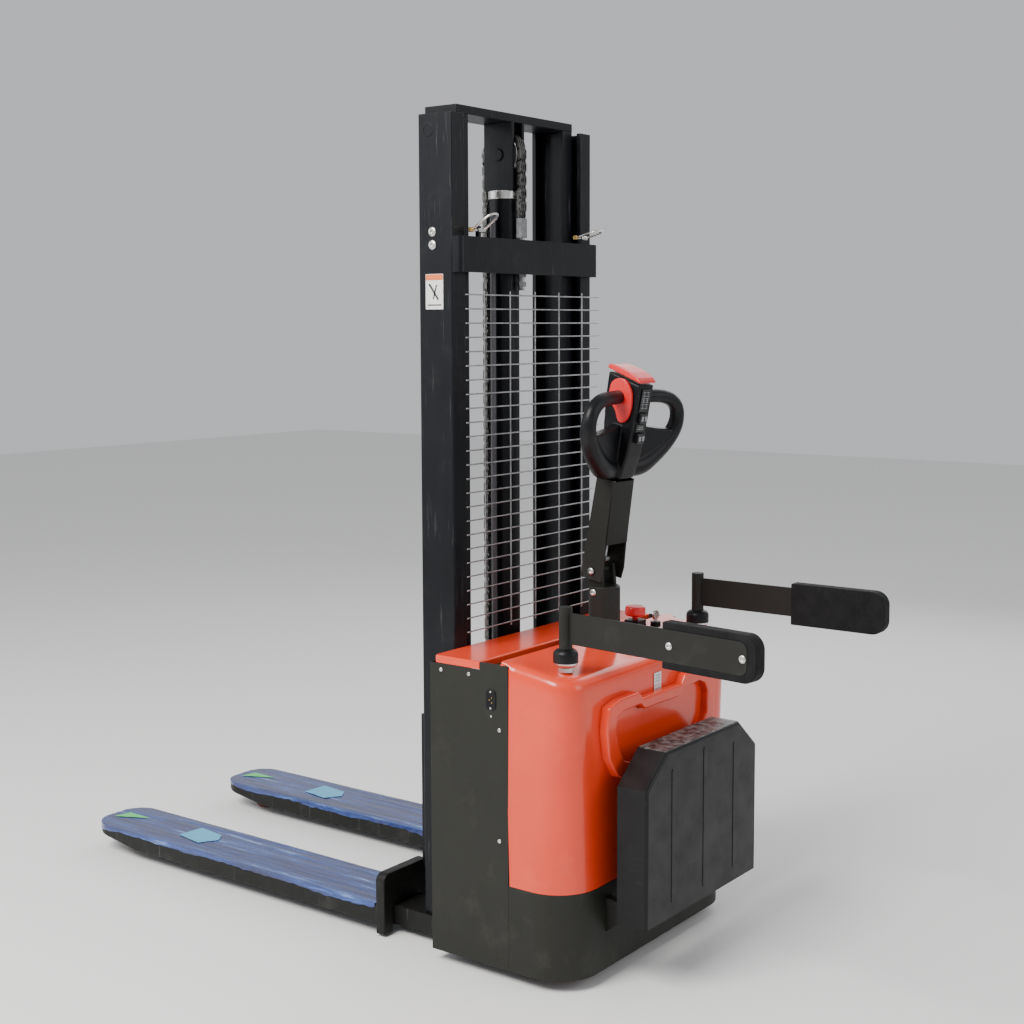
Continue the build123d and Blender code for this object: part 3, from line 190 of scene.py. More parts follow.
def pores(tree, coords, scale):
    node = tree.nodes.new("ShaderNodeTexVoronoi")
    node.inputs["Scale"].default_value = scale
    tree.links.new(coords, node.inputs["Vector"])
    return node.outputs["Distance"]


def ramp(tree, fac, *stops):
    node = tree.nodes.new("ShaderNodeValToRGB")
    points = node.color_ramp.elements
    while len(points) < len(stops):
        points.new(0.5)
    for point, (place, colour) in zip(points, stops):
        point.position = place
        point.color = colour if len(colour) == 4 else (*colour, 1)
    tree.links.new(fac, node.inputs["Fac"])
    return node.outputs["Color"]


def span(tree, fac, low, high, start=0.3, end=0.7):
    node = tree.nodes.new("ShaderNodeMapRange")
    for key, value in (("From Min", start), ("From Max", end), ("To Min", low), ("To Max", high)):
        node.inputs[key].default_value = value
    tree.links.new(fac, node.inputs["Value"])
    return node.outputs["Result"]


def blend_colour(tree, fac, first, second):
    node = tree.nodes.new("ShaderNodeMix")
    node.data_type = "RGBA"
    tree.links.new(fac, node.inputs["Factor"])
    for socket, value in ((node.inputs[6], first), (node.inputs[7], second)):
        if isinstance(value, tuple):
            socket.default_value = (*value, 1)
        else:
            tree.links.new(value, socket)
    return node.outputs[2]


def relief(tree, shader, height, strength, distance):
    node = tree.nodes.new("ShaderNodeBump")
    node.inputs["Strength"].default_value = strength
    node.inputs["Distance"].default_value = distance
    tree.links.new(height, node.inputs["Height"])
    if shader.inputs["Normal"].links:
        tree.links.new(shader.inputs["Normal"].links[0].from_socket, node.inputs["Normal"])
    tree.links.new(node.outputs["Normal"], shader.inputs["Normal"])


def shade(colour, factor):
    return tuple(min(1.0, c * factor) for c in colour)


def dress(tree, shader, colour, roughness, **settings):
    """Join colour and roughness to the shader and set its other inputs, named with underscores."""
    tree.links.new(colour, shader.inputs["Base Color"])
    tree.links.new(roughness, shader.inputs["Roughness"])
    for key, value in settings.items():
        shader.inputs[key.replace("_", " ")].default_value = value


print("helpers ready")

# %% [markdown]
# Paint and moulded plastic differ in three things: how even the colour is, how sharp the
# reflections are, and how coarse the skin is. One recipe takes those three, and dust settles on it
# in patches.

# %% Paint and plastic
def coated(name, colour, uneven=0.18, gloss=(0.32, 0.5), skin=420.0, depth=0.0002, coat=0.0,
           dusty=0.25, dust=(0.33, 0.31, 0.28), scratch=0.0, bright=(0.35, 0.35, 0.36), specular=0.22):
    mat, tree, shader, coords = start_finish(name)
    body = ramp(tree, mottle(tree, coords, 5.0), (0.35, shade(colour, 1 - uneven)),
                (0.65, shade(colour, 1 + uneven)))
    if scratch:
        lines = mottle(tree, stretched(tree, coords, (60, 60, 3.0)), 2.2, 3.0, 0.7)
        body = blend_colour(tree, span(tree, lines, 0, scratch, 0.62, 0.74), body, bright)
    if dusty:
        patches = mottle(tree, coords, 9.0, 6.0, 0.7)
        body = blend_colour(tree, span(tree, patches, 0, dusty, 0.55, 0.8), body, dust)
    smear = mottle(tree, stretched(tree, coords, (1, 1, 0.35)), 14.0, 5.0, 0.65)
    dress(tree, shader, body, span(tree, smear, *gloss), Coat_Weight=coat, Coat_Roughness=0.12,
          Specular_IOR_Level=specular)
    relief(tree, shader, mottle(tree, coords, skin, 2.0, 0.5), 0.35, depth)
    return mat


MAST_PAINT = coated("mast_black_paint", (0.0026, 0.0032, 0.0050), gloss=(0.30, 0.46), skin=160,
                    depth=0.0003,
                    dusty=0.03, scratch=0.10)
LEG_PAINT = coated("leg_black_paint", (0.0075, 0.0075, 0.0066), gloss=(0.34, 0.55), skin=160, depth=0.0003,
                   dusty=0.10, scratch=0.15)
PANEL_PAINT = coated("panel_powder_coat", (0.0165, 0.0168, 0.0135), uneven=0.08, gloss=(0.46, 0.58),
                     skin=850,
                     depth=0.0006, dusty=0.06)
ARM_PAINT = coated("arm_powder_coat", (0.0125, 0.0125, 0.0108), uneven=0.08, gloss=(0.42, 0.55), skin=850,
                   depth=0.0005, dusty=0.05)
COVER_ORANGE = coated("orange_gloss_cover", (0.74, 0.050, 0.016), uneven=0.04, gloss=(0.16, 0.27), skin=60,
                      depth=0.0003, coat=0.3, dusty=0.05, dust=(0.9, 0.4, 0.3), specular=0.35)
HANDLE_RED = coated("handle_red_plastic", (0.66, 0.018, 0.02), uneven=0.06, gloss=(0.25, 0.38), skin=500,
                    depth=0.0001, coat=0.2, dusty=0.04, dust=(0.8, 0.35, 0.33), specular=0.4)
HEAD_PLASTIC = coated("satin_black_plastic", (0.0032, 0.0035, 0.0048), uneven=0.12, gloss=(0.33, 0.46),
                      skin=1100,
                      depth=0.0004, dusty=0.06)
GREY_PLASTIC = coated("grey_plastic", (0.2, 0.2, 0.21), uneven=0.1, gloss=(0.4, 0.5), skin=900,
                      depth=0.0003)
BATTERY_PLASTIC = coated("battery_plastic", (0.03, 0.03, 0.034), gloss=(0.45, 0.6), skin=300, depth=0.0003)
CAST_GREY = coated("cast_grey_paint", (0.10, 0.10, 0.11), gloss=(0.45, 0.62), skin=220, depth=0.0009,
                   dusty=0.3)
TREAD = coated("polyurethane_tread", (0.13, 0.030, 0.014), gloss=(0.45, 0.62), skin=240, depth=0.0004,
               dusty=0.4,
               scratch=0.2)
print("coated finishes", len([m for m in bpy.data.materials if m.use_nodes]))

# %% [markdown]
# Bare metal needs no colour trick: its tone is its reflection. Zinc plate has a faint yellow and
# blue drift, chain steel is dark with oil between brighter rubbed plates, and the lift rod is
# mirror-smooth hard chrome.

# %% Bare metals
def bare_metal(name, low, high, gloss, grain=(1, 1, 1), scale=30.0, depth=0.0002):
    mat, tree, shader, coords = start_finish(name)
    drift = mottle(tree, stretched(tree, coords, grain), scale, 6.0, 0.7)
    dress(tree, shader, ramp(tree, drift, (0.32, low), (0.68, high)),
          span(tree, mottle(tree, coords, 45.0), *gloss), Metallic=1.0)
    relief(tree, shader, mottle(tree, stretched(tree, coords, grain), 400.0, 2.0), 0.3, depth)
    return mat


ZINC = bare_metal("zinc_plate", (0.48, 0.47, 0.44), (0.78, 0.78, 0.77), (0.24, 0.4))
CHAIN_STEEL = bare_metal("oiled_chain_steel", (0.035, 0.033, 0.031), (0.2, 0.195, 0.19), (0.28, 0.45),
                         scale=90.0)
ROLLER_STEEL = bare_metal("rolled_steel", (0.16, 0.16, 0.165), (0.36, 0.36, 0.37), (0.25, 0.4), scale=60.0)
CHROME = bare_metal("hard_chrome", (0.74, 0.75, 0.77), (0.85, 0.85, 0.86), (0.05, 0.12), scale=12.0,
                    depth=0.00003)
BRASS = bare_metal("brass", (0.42, 0.26, 0.08), (0.62, 0.42, 0.16), (0.25, 0.4))
WIRE_STEEL = bare_metal("galvanised_wire", (0.25, 0.25, 0.26), (0.5, 0.5, 0.51), (0.3, 0.45), scale=50.0)
print("bare metals", ZINC.name, CHAIN_STEEL.name, CHROME.name)

# %% [markdown]
# Three finishes need their own recipe. The platform is satin black, and its top edge is painted a
# lighter grey: partly steel rubbed bright by boots, partly painted sheen where light falls on the
# top. The pads are moulded foam, black and full of tiny pores. The forks still wear the blue film
# they were shipped in, which is streaky where it was pulled tight; its lightest streaks are painted
# highlights.

# %% Platform, foam and film
def platform_with_wear_and_painted_sheen():
    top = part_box("platform_plate")[1][2]
    mat, tree, shader, coords = start_finish("platform_satin_black")
    body = ramp(tree, mottle(tree, coords, 6.0), (0.35, (0.0024, 0.0026, 0.0032)),
                (0.65, (0.0042, 0.0044, 0.0050)))
    height = tree.nodes.new("ShaderNodeSeparateXYZ")
    tree.links.new(coords, height.inputs[0])
    ragged = tree.nodes.new("ShaderNodeMath")
    ragged.operation = "MULTIPLY_ADD"
    tree.links.new(mottle(tree, coords, 60.0), ragged.inputs[0])
    ragged.inputs[1].default_value = 0.008
    tree.links.new(height.outputs["Z"], ragged.inputs[2])
    # Top edge painted lighter grey: partly rubbed wear, partly painted sheen from light falling on the top.
    edge = span(tree, ragged.outputs[0], 0, 1, top + 0.0030, top + 0.0056)
    body = blend_colour(tree, edge, body, (0.16, 0.16, 0.158))
    scuffs = mottle(tree, stretched(tree, coords, (3, 3, 30)), 3.0, 5.0, 0.75)
    body = blend_colour(tree, span(tree, scuffs, 0, 0.05, 0.6, 0.75), body, (0.3, 0.3, 0.29))
    dress(tree, shader, body, span(tree, mottle(tree, coords, 18.0), 0.3, 0.48), Specular_IOR_Level=0.25)
    relief(tree, shader, mottle(tree, coords, 500.0, 2.0), 0.3, 0.0003)
    return mat


def moulded_foam():
    mat, tree, shader, coords = start_finish("black_moulded_foam")
    body = ramp(tree, mottle(tree, coords, 30.0), (0.3, (0.0045, 0.0045, 0.005)),
                (0.7, (0.010, 0.010, 0.0105)))
    dress(tree, shader, body, span(tree, mottle(tree, coords, 90.0), 0.6, 0.8), Specular_IOR_Level=0.15)
    relief(tree, shader, pores(tree, coords, 480.0), 0.5, 0.0008)
    relief(tree, shader, mottle(tree, coords, 40.0), 0.25, 0.002)
    return mat


def shipping_film():
    mat, tree, shader, coords = start_finish("blue_shipping_film")
    streak_and_highlight_pattern = mottle(tree, stretched(tree, coords, (26, 1.6, 26)), 2.0, 7.0, 0.72)
    clouds = mottle(tree, coords, 7.0, 6.0, 0.7)
    # The lightest ramp stop paints highlights along the streaks: painted reflection on the glossy film. The
    # darker stops are the film's own blue.
    body = ramp(tree, streak_and_highlight_pattern, (0.34, (0.002, 0.007, 0.055)), (0.50, (0.004, 0.022, 0.15)),
                (0.60, (0.015, 0.07, 0.30)), (0.70, (0.36, 0.52, 0.80)))
    body = blend_colour(tree, span(tree, clouds, 0, 0.35, 0.5, 0.78), body, (0.006, 0.012, 0.05))
    dress(tree, shader, body, span(tree, streak_and_highlight_pattern, 0.10, 0.34), Coat_Weight=0.8, Coat_Roughness=0.12)
    relief(tree, shader, streak_and_highlight_pattern, 0.7, 0.004)
    relief(tree, shader, mottle(tree, stretched(tree, coords, (70, 5, 70)), 3.0, 4.0), 0.4, 0.001)
    return mat


PLATFORM_BLACK, FOAM, FILM = platform_with_wear_and_painted_sheen(), moulded_foam(), shipping_film()
print("own recipes", PLATFORM_BLACK.name, FOAM.name, FILM.name)

# %% [markdown]
# The engineered meshes have knife edges, but paint rounds every real edge and moulded plastic more
# so. A cleaned copy of a node gets a small bevel, whose width is the real edge radius, and smooth
# shading between the bevels.

# %% Softened copies of the engineered shapes
def adopt(piece, body):
    """Put a finished mesh object on its moving body."""
    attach(piece, body)
    return piece


def smooth_by_angle(mesh, degrees=35):
    mesh.shade_smooth()
    mesh.set_sharp_from_angle(angle=math.radians(degrees))


def baked(source, name):
    """Plain mesh object made from an object with its modifiers applied."""
    bpy.context.view_layer.update()
    graph = bpy.context.evaluated_depsgraph_get()
    mesh = bpy.data.meshes.new_from_object(source.evaluated_get(graph))
    mesh.name = name
    piece = linked(name, mesh)
    old = source.data
    bpy.data.objects.remove(source)
    if old.users == 0 and isinstance(old, bpy.types.Mesh):
        bpy.data.meshes.remove(old)
    return piece


def rounded(source, name, radius, segments, angle=28, miter="MITER_SHARP"):
    """Plain mesh object with its edges rounded to radius millimetres and smooth shading."""
    bevel = source.modifiers.new("edge", "BEVEL")
    bevel.width, bevel.segments, bevel.limit_method = radius / 1000, segments, "ANGLE"
    bevel.angle_limit, bevel.miter_outer = math.radians(angle), miter
    source.modifiers.new("even", "WEIGHTED_NORMAL").keep_sharp = False
    source.data.shade_smooth()
    return baked(source, name)


def softened(node, radius, finish, segments=2, angle=35, wide=None):
    """Copy of a node with its edges rounded to radius millimetres, standing for the node.

    wide is a test for edges that get a larger rounding first, and its radius."""
    cage = bmesh.new()
    cage.from_mesh(frame["nodes"][node].data)
    bmesh.ops.remove_doubles(cage, verts=cage.verts, dist=1e-5)
    bmesh.ops.dissolve_limit(cage, angle_limit=math.radians(0.6), verts=cage.verts, edges=cage.edges)
    if wide:
        test, large = wide
        picked = [e for e in cage.edges if len(e.link_faces) == 2 and e.calc_face_angle(0) > 0.3
                  and test(e.verts[0].co, e.verts[1].co)]
        bmesh.ops.bevel(cage, geom=picked, offset=large / 1000, segments=5, profile=0.5, affect="EDGES",
                        clamp_overlap=True)
    cage_object = linked(node + "_cage", to_mesh(cage, node + "_cage", finish))
    piece = rounded(cage_object, node + "_finished", radius, segments, angle, miter="MITER_ARC")
    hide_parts(node)
    return adopt(piece, body_of[node])


EDGES = (
    (0.5, CAST_GREY, "hydraulic_pipe"),
    (0.6, ZINC, "ignition_key"),
    (0.8, PANEL_PAINT, "side_panels rear_skirt slot_plate"),
    (0.8, ROLLER_STEEL, "gas_spring chain_anchor"),
    (1.0, MAST_PAINT, "lift_cylinder"),
    (1.0, COVER_ORANGE, "deck_strip"),
    (1.0, HEAD_PLASTIC, "key_switch arm_boots"),
    (1.0, CHROME, "lift_rod"),
    (1.0, ARM_PAINT, "platform_brackets"),
    (1.0, ROLLER_STEEL, "chain_wheel"),
    (1.2, ARM_PAINT, "left_guard_arm right_guard_arm tiller_arm"),
    (1.5, MAST_PAINT, "inner_mast_ties mast_crossbar chassis_frame"),
    (1.5, ARM_PAINT, "tiller_base"),
    (1.5, HEAD_PLASTIC, "charge_socket"),
    (1.5, GREY_PLASTIC, "raise_button lower_button"),
    (1.5, ROLLER_STEEL, "mast_rollers upper_carriage_rollers lower_carriage_rollers"),
    (1.5, ZINC, "left_castor_fork right_castor_fork"),
    (1.6, PLATFORM_BLACK, "platform_plate"),
    (2.0, MAST_PAINT, "outer_channels inner_channels chain_wheel_block carriage_frame chain_wheel_pin"),
    (2.0, HEAD_PLASTIC, "stop_base motor_controller pump_unit"),
    (2.5, LEG_PAINT, "support_legs"),
    (3.0, LEG_PAINT, "left_fork right_fork"),
    (3.0, HANDLE_RED, "stop_button"),
    (3.0, CAST_GREY, "drive_gearbox drive_motor"),
    (3.0, TREAD, "drive_wheel load_rollers left_castor_wheel right_castor_wheel"),
    (4.0, BATTERY_PLASTIC, "batteries"),
)
pan_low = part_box("platform_plate")[0]


def on_pan_rim(a, b):
    """Both ends on the outer face of the platform, away from its foot."""
    return all(abs(p.y - pan_low[1]) < 1.5e-3 for p in (a, b)) and max(a.z, b.z) > pan_low[2] + 0.02


WIDE = {"platform_plate": (on_pan_rim, 9.0)}
finished = {}
for radius, finish, nodes in EDGES:
    for node in nodes.split():
        finished[node] = softened(node, radius, finish, wide=WIDE.get(node))
print("softened", len(finished), "nodes,", sum(len(p.data.polygons) for p in finished.values()), "faces")

# %% [markdown]
# Two copies carry two finishes: the cylinder's gland is a bright ring, and the boots stand on plated
# nuts. The face's height decides which finish it takes.

# %% Second finishes
def refinish(piece, finish, wanted):
    """Give a second finish to the faces whose centre passes the test."""
    piece.data.materials.append(finish)
    picked = [face for face in piece.data.polygons if wanted(face.center)]
    for face in picked:
        face.material_index = len(piece.data.materials) - 1
    return len(picked)


GLAND_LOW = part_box("lift_cylinder")[1][2] - 0.0225
NUT_TOP = 0.7855
print("gland faces", refinish(finished["lift_cylinder"], ZINC, lambda c: c.z > GLAND_LOW))
print("nut faces", refinish(finished["arm_boots"], ZINC, lambda c: c.z < NUT_TOP))

# %% [markdown]
# The motor cover is one moulded hood. Its side walls lean in a little, its upright corners are tight
# at the top and wide at the foot, and its roof falls in two steps towards the operator, with a soft
# crease between them. It is laid out as columns of points round the open-fronted outline, which
# rise up the wall, roll over the edge and meet across the roof.

# %% Motor cover
COVER = {"half": 385.0, "front": -228.0, "ridge": -206.0, "rear": -405.5, "foot": 241.0,
         "foot_corner": 110.0, "top_corner": 62.0, "roll": 24.0}


def roof_height(y):
    """Height of the roof: steep behind the ridge, gentle after the crease."""
    ridge, crease, top = COVER["ridge"], -252.0, 783.5
    steep = top - (ridge - y) * 0.17
    gentle = top - (ridge - crease) * 0.17 - (crease - y) * 0.155
    t = min(1.0, max(0.0, (crease + 14 - y) / 28))
    t = t * t * (3 - 2 * t)
    return steep * (1 - t) + gentle * t


def outline_point(step, steps, corner, inset):
    """Point on the left half of the outline, from the front corner round to the middle of the rear."""
    half, rear = COVER["half"] - inset, COVER["rear"] + inset
    radius = max(corner - inset * 0.6, 12)
    side_len = COVER["ridge"] - (rear + radius)
    lengths = (side_len, radius * math.pi / 2, half - radius)
    walk = step / steps * sum(lengths)
    if walk <= lengths[0]:
        return -half, COVER["ridge"] - walk
    walk -= lengths[0]
    if walk <= lengths[1]:
        a = walk / radius
        return -half + radius * (1 - math.cos(a)), rear + radius * (1 - math.sin(a))
    walk -= lengths[1]
    return -half + radius + min(walk, lengths[2]), rear


def build_cover():
    steps, rows, rolls, lean = 44, 22, 6, 3.0
    shape = bmesh.new()
    columns = []
    for i in range(steps + 1):
        column = []
        for t in (row / rows for row in range(rows + 1)):
            corner = COVER["foot_corner"] * (1 - t) + COVER["top_corner"] * t
            x, y = outline_point(i, steps, corner, lean * t)
            ahead_of_wall = y > COVER["front"] + 0.5
            low = 777.0 if ahead_of_wall else COVER["foot"]
            roll = COVER["roll"] * (0.25 if ahead_of_wall else 1.0)
            column.append((x, y, low + (roof_height(y) - roll - low) * t))
        for k in range(1, rolls + 1):
            a = math.pi / 2 * k / rolls
            x, y = outline_point(i, steps, COVER["top_corner"], lean + roll * (1 - math.cos(a)))
            column.append((x, y, roof_height(y) - roll * (1 - math.sin(a))))
        columns.append(column)
    full = columns + [[(-x, y, z) for x, y, z in column] for column in reversed(columns[:-1])]
    grid = [[shape.verts.new(at(*p)) for p in column] for column in full]
    for left, right in zip(grid, grid[1:]):
        for k in range(len(left) - 1):
            shape.faces.new((left[k], right[k], right[k + 1], left[k + 1]))
    rims = [column[-1] for column in grid]
    straight = next(i for i in range(steps) if abs(rims[i].co.y - rims[i + 1].co.y) < 1e-6)
    across = 2 * (steps - straight)
    spans = []
    for i in range(straight):
        a, b = rims[i], rims[-1 - i]
        inner = [shape.verts.new(a.co.lerp(b.co, k / across)) for k in range(1, across)]
        spans.append([a] + inner + [b])
    spans.append(rims[straight:len(rims) - straight])
    for first, second in zip(spans, spans[1:]):
        bridge(shape, first, second, closed=False)
    bmesh.ops.recalc_face_normals(shape, faces=shape.faces)
    shell = linked("motor_cover_shell", to_mesh(shape, "motor_cover_shell", COVER_ORANGE))
    wall = shell.modifiers.new("wall", "SOLIDIFY")
    wall.thickness, wall.offset = 0.0035, -1
    cutter = column_cutter()
    cut = shell.modifiers.new("column_hole", "BOOLEAN")
    cut.operation, cut.object, cut.solver = "DIFFERENCE", cutter, "EXACT"
    piece = baked(shell, "motor_cover_hood")
    bpy.data.objects.remove(cutter)
    smooth_by_angle(piece.data, 34)
    return piece


def column_cutter():
    """Upright cylinder that makes the hole for the steering column."""
    shape = bmesh.new()
    bmesh.ops.create_cone(shape, cap_ends=True, segments=64, radius1=0.046, radius2=0.046, depth=0.2)
    bmesh.ops.translate(shape, verts=shape.verts, vec=at(0, -246, 780))
    return linked("cutter", to_mesh(shape, "cutter"))


hood = build_cover()
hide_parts("main_cover")
adopt(hood, "truck")
print("cover faces", len(hood.data.polygons))

# %% [markdown]
# On the rear of the cover a thick rounded frame stands proud, with two raised bumps along its top.
# It doubles as a grab handle. A flat ring between two outlines gets its thickness, then a wide
# bevel turns it into moulded plastic.

# %% Rear handle frame
def flat_prism(outer, inner, y0, y1, name, finish):
    """Ring between two closed outlines in x and z, or a plate if there is no inner one."""
    shape = bmesh.new()
    near, far = ([shape.verts.new(at(x, y, z)) for x, z in outer] for y in (y0, y1))
    bridge(shape, near, far)
    if inner:
        near_in, far_in = ([shape.verts.new(at(x, y, z)) for x, z in inner] for y in (y0, y1))
        bridge(shape, far_in, near_in)
        bridge(shape, near_in, near)
        bridge(shape, far, far_in)
    else:
        shape.faces.new(near[::-1])
        shape.faces.new(far)
    bmesh.ops.recalc_face_normals(shape, faces=shape.faces)
    return linked(name, to_mesh(shape, name, finish))


FRAME_OUT = [(-252, 676), (-206, 688), (-120, 690), (-104, 672), (84, 672), (100, 694), (186, 698),
             (228, 686),
             (250, 640), (246, 556), (212, 506), (120, 470), (-120, 470), (-212, 500), (-250, 552),
             (-262, 620)]
FRAME_IN = [(-214, 646), (-190, 656), (-112, 658), (-92, 642), (72, 642), (92, 660), (170, 664), (196, 654),
            (212, 628), (208, 572), (186, 540), (104, 506), (-104, 506), (-186, 536), (-210, 572),
            (-222, 616)]
FLOOR_OUT = [(x * 1.03, z) for x, z in FRAME_IN]
handle_frame = rounded(flat_prism(FRAME_OUT, FRAME_IN, -428, -402, "rear_handle_frame", COVER_ORANGE),
                       "rear_handle_frame", 8.0, 5)
recess = rounded(flat_prism(FLOOR_OUT, None, -409, -403, "rear_handle_floor", COVER_ORANGE),
                 "rear_handle_floor", 1.0, 2)
for piece in (handle_frame, recess):
    adopt(piece, "truck")
print("handle frame", len(handle_frame.data.polygons), "faces")

# %% [markdown]
# Small round heads sit all over the truck. A tree places one moulded head on every point of a cloud
# of points and turns it to face outwards; each cloud belongs to one moving body.

# %% Screw heads on points
def screw_head(name, radius, height, hole, finish):
    """Pan head lying along +Z with a round socket, kept out of the picture as a template."""
    profile = [(radius, 0), (radius, height * 0.35), (radius * 0.86, height * 0.8), (radius * 0.62, height),
               (hole, height)]
    sides = 24
    turns = [2 * math.pi * i / sides for i in range(sides)]
    shape = bmesh.new()
    rings = [[shape.verts.new((r * math.cos(a), r * math.sin(a), z)) for a in turns] for r, z in profile]
    rings.append([shape.verts.new((v.co.x * 0.96, v.co.y * 0.96, height * 0.3)) for v in rings[-1]])
    for first, second in zip(rings, rings[1:]):
        bridge(shape, first, second)
    shape.faces.new(rings[0][::-1])
    shape.faces.new(rings[-1])
    mesh = to_mesh(shape, name, finish)
    smooth_by_angle(mesh, 40)
    return bpy.data.objects.new(name, mesh)


def add_node(tree, kind, **settings):
    node = tree.nodes.new(kind)
    for key, value in settings.items():
        setattr(node, key, value)
    return node


def new_tree(name, inputs, output):
    """Empty tree with typed inputs; gives the tree, its first and last node and its link call."""
    tree = bpy.data.node_groups.new(name, "GeometryNodeTree")
    for label, kind in inputs.items():
        tree.interface.new_socket(label, in_out="INPUT", socket_type="NodeSocket" + kind)
    tree.interface.new_socket(output, in_out="OUTPUT", socket_type="NodeSocketGeometry")
    return tree, add_node(tree, "NodeGroupInput"), add_node(tree, "NodeGroupOutput"), tree.links.new


def end_tree(tree, geometry, start, end):
    """Make the instances real, give them the finish, and hand them out."""
    real = add_node(tree, "GeometryNodeRealizeInstances")
    paint = add_node(tree, "GeometryNodeSetMaterial")
    tree.links.new(geometry, real.inputs["Geometry"])
    tree.links.new(real.outputs["Geometry"], paint.inputs["Geometry"])
    tree.links.new(start.outputs["Finish"], paint.inputs["Material"])
    tree.links.new(paint.outputs["Geometry"], end.inputs[0])
    return tree


def grown(source, tree, name, angle, values):
    """Plain mesh object that a tree makes from a source object and its inputs."""
    grow = source.modifiers.new("grow", "NODES")
    grow.node_group = tree
    keys = {item.name: item.identifier for item in tree.interface.items_tree if item.in_out == "INPUT"}
    for key, value in values.items():
        grow[keys[key]] = value
    piece = baked(source, name)
    smooth_by_angle(piece.data, angle)
    return piece


def scatter_tree():
    """Instances one object on every point of the mesh, turned by a fixed rotation."""
    tree, start, end, link = new_tree("heads_on_points", {"Points": "Geometry", "Head": "Object",
                                                          "Turn": "Vector",
                                                          "Finish": "Material"}, "Heads")
    head = add_node(tree, "GeometryNodeObjectInfo")
    place = add_node(tree, "GeometryNodeInstanceOnPoints")
    turn = add_node(tree, "FunctionNodeEulerToRotation")
    link(start.outputs["Points"], place.inputs["Points"])
    link(start.outputs["Head"], head.inputs["Object"])
    link(head.outputs["Geometry"], place.inputs["Instance"])
    link(start.outputs["Turn"], turn.inputs[0])
    link(turn.outputs[0], place.inputs["Rotation"])
    return end_tree(tree, place.outputs["Instances"], start, end)


HEADS_TREE = scatter_tree()


def heads(name, places, head, turn, finish, body):
    """One mesh of heads, on one body, standing at the places."""
    mesh = bpy.data.meshes.new(name + "_points")
    mesh.from_pydata([tuple(at(*p)) for p in places], [], [])
    piece = grown(linked(name + "_points", mesh), HEADS_TREE, name, 40,
                  {"Head": head, "Turn": turn, "Finish": finish})
    return adopt(piece, body)


LEFT, RIGHT = (0, -math.pi / 2, 0), (0, math.pi / 2, 0)
small = screw_head("small_screw", 0.0052, 0.0026, 0.0020, ZINC)
large = screw_head("mast_bolt", 0.0118, 0.0042, 0.0042, ZINC)
medium = screw_head("arm_bolt", 0.0092, 0.0034, 0.0030, ZINC)
panel_spots = [(-24, 741), (-110, 741), (-202, 617), (-201, 346)]
mast_spots = [(62, 1804), (62, 1772)]
for side, turn, word in ((-1, LEFT, "left"), (1, RIGHT, "right")):
    for kind, x, spots, head in (("_panel_screws", 385, panel_spots, small),
                                 ("_mast_bolts", 301, mast_spots, large)):
        heads(word + kind, [(side * x, y, z) for y, z in spots], head, turn, ZINC, "truck")
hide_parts("zinc_screws")

# %% [markdown]
# The wire guard keeps hands out of the mast. Real wire is round and welded where it crosses, so a
# tree lays a row of horizontal wires and a row of uprights, each a thin tube, one just in front of
# the other.

# %% Wire guard
def wire_tree():
    """Two rows of straight round wires that cross."""
    tree, start, end, link = new_tree("crossing_wires", {
        "Rows": "Int", "Row Pitch": "Float", "Half Width": "Float", "Uprights": "Int",
        "Upright Pitch": "Float",
        "Overhang": "Float", "Wire Radius": "Float", "Corner": "Vector", "Finish": "Material"}, "Guard")

    def feed(node, values):
        for socket, value in zip(node.inputs, values):
            if isinstance(value, (int, float)):
                socket.default_value = value
            else:
                link(value, socket)
        return node.outputs[0]

    def sums(operation, a, b):
        return feed(add_node(tree, "ShaderNodeMath", operation=operation), (a, b))

    def vector(x=0.0, y=0.0, z=0.0):
        return feed(add_node(tree, "ShaderNodeCombineXYZ"), (x, y, z))

    circle = add_node(tree, "GeometryNodeCurvePrimitiveCircle")
    circle.inputs["Resolution"].default_value = 8
    link(start.outputs["Wire Radius"], circle.inputs["Radius"])
    height = sums("MULTIPLY", sums("SUBTRACT", start.outputs["Rows"], 1), start.outputs["Row Pitch"])

    def wires(count, offset, first, tip, shift):
        line = add_node(tree, "GeometryNodeCurvePrimitiveLine")
        link(first, line.inputs["Start"])
        link(tip, line.inputs["End"])
        tube = add_node(tree, "GeometryNodeCurveToMesh")
        tube.inputs["Fill Caps"].default_value = True
        link(line.outputs[0], tube.inputs["Curve"])
        link(circle.outputs[0], tube.inputs["Profile Curve"])
        row = add_node(tree, "GeometryNodeMeshLine")
        link(count, row.inputs["Count"])
        link(offset, row.inputs["Offset"])
        link(shift, row.inputs["Start Location"])
        place = add_node(tree, "GeometryNodeInstanceOnPoints")
        link(row.outputs[0], place.inputs["Points"])
        link(tube.outputs[0], place.inputs["Instance"])
        return place.outputs[0]

    half = start.outputs["Half Width"]
    across = wires(start.outputs["Rows"], vector(z=start.outputs["Row Pitch"]),
                   vector(x=sums("MULTIPLY", half, -1.0)),
                   vector(x=half), vector())
    spread = sums("MULTIPLY", sums("MULTIPLY", sums("SUBTRACT", start.outputs["Uprights"], 1),
                                   start.outputs["Upright Pitch"]), -0.5)
    wire = sums("MULTIPLY", start.outputs["Wire Radius"], 1.7)
    upright = wires(start.outputs["Uprights"], vector(x=start.outputs["Upright Pitch"]),
                    vector(z=sums("MULTIPLY", start.outputs["Overhang"], -1.0)),
                    vector(z=sums("ADD", height, start.outputs["Overhang"])), vector(x=spread, y=wire))
    joined = add_node(tree, "GeometryNodeJoinGeometry")
    link(across, joined.inputs[0])
    link(upright, joined.inputs[0])
    real = add_node(tree, "GeometryNodeRealizeInstances")
    move = add_node(tree, "GeometryNodeTransform")
    link(joined.outputs[0], real.inputs["Geometry"])
    link(real.outputs[0], move.inputs["Geometry"])
    link(start.outputs["Corner"], move.inputs["Translation"])
    return end_tree(tree, move.outputs[0], start, end)


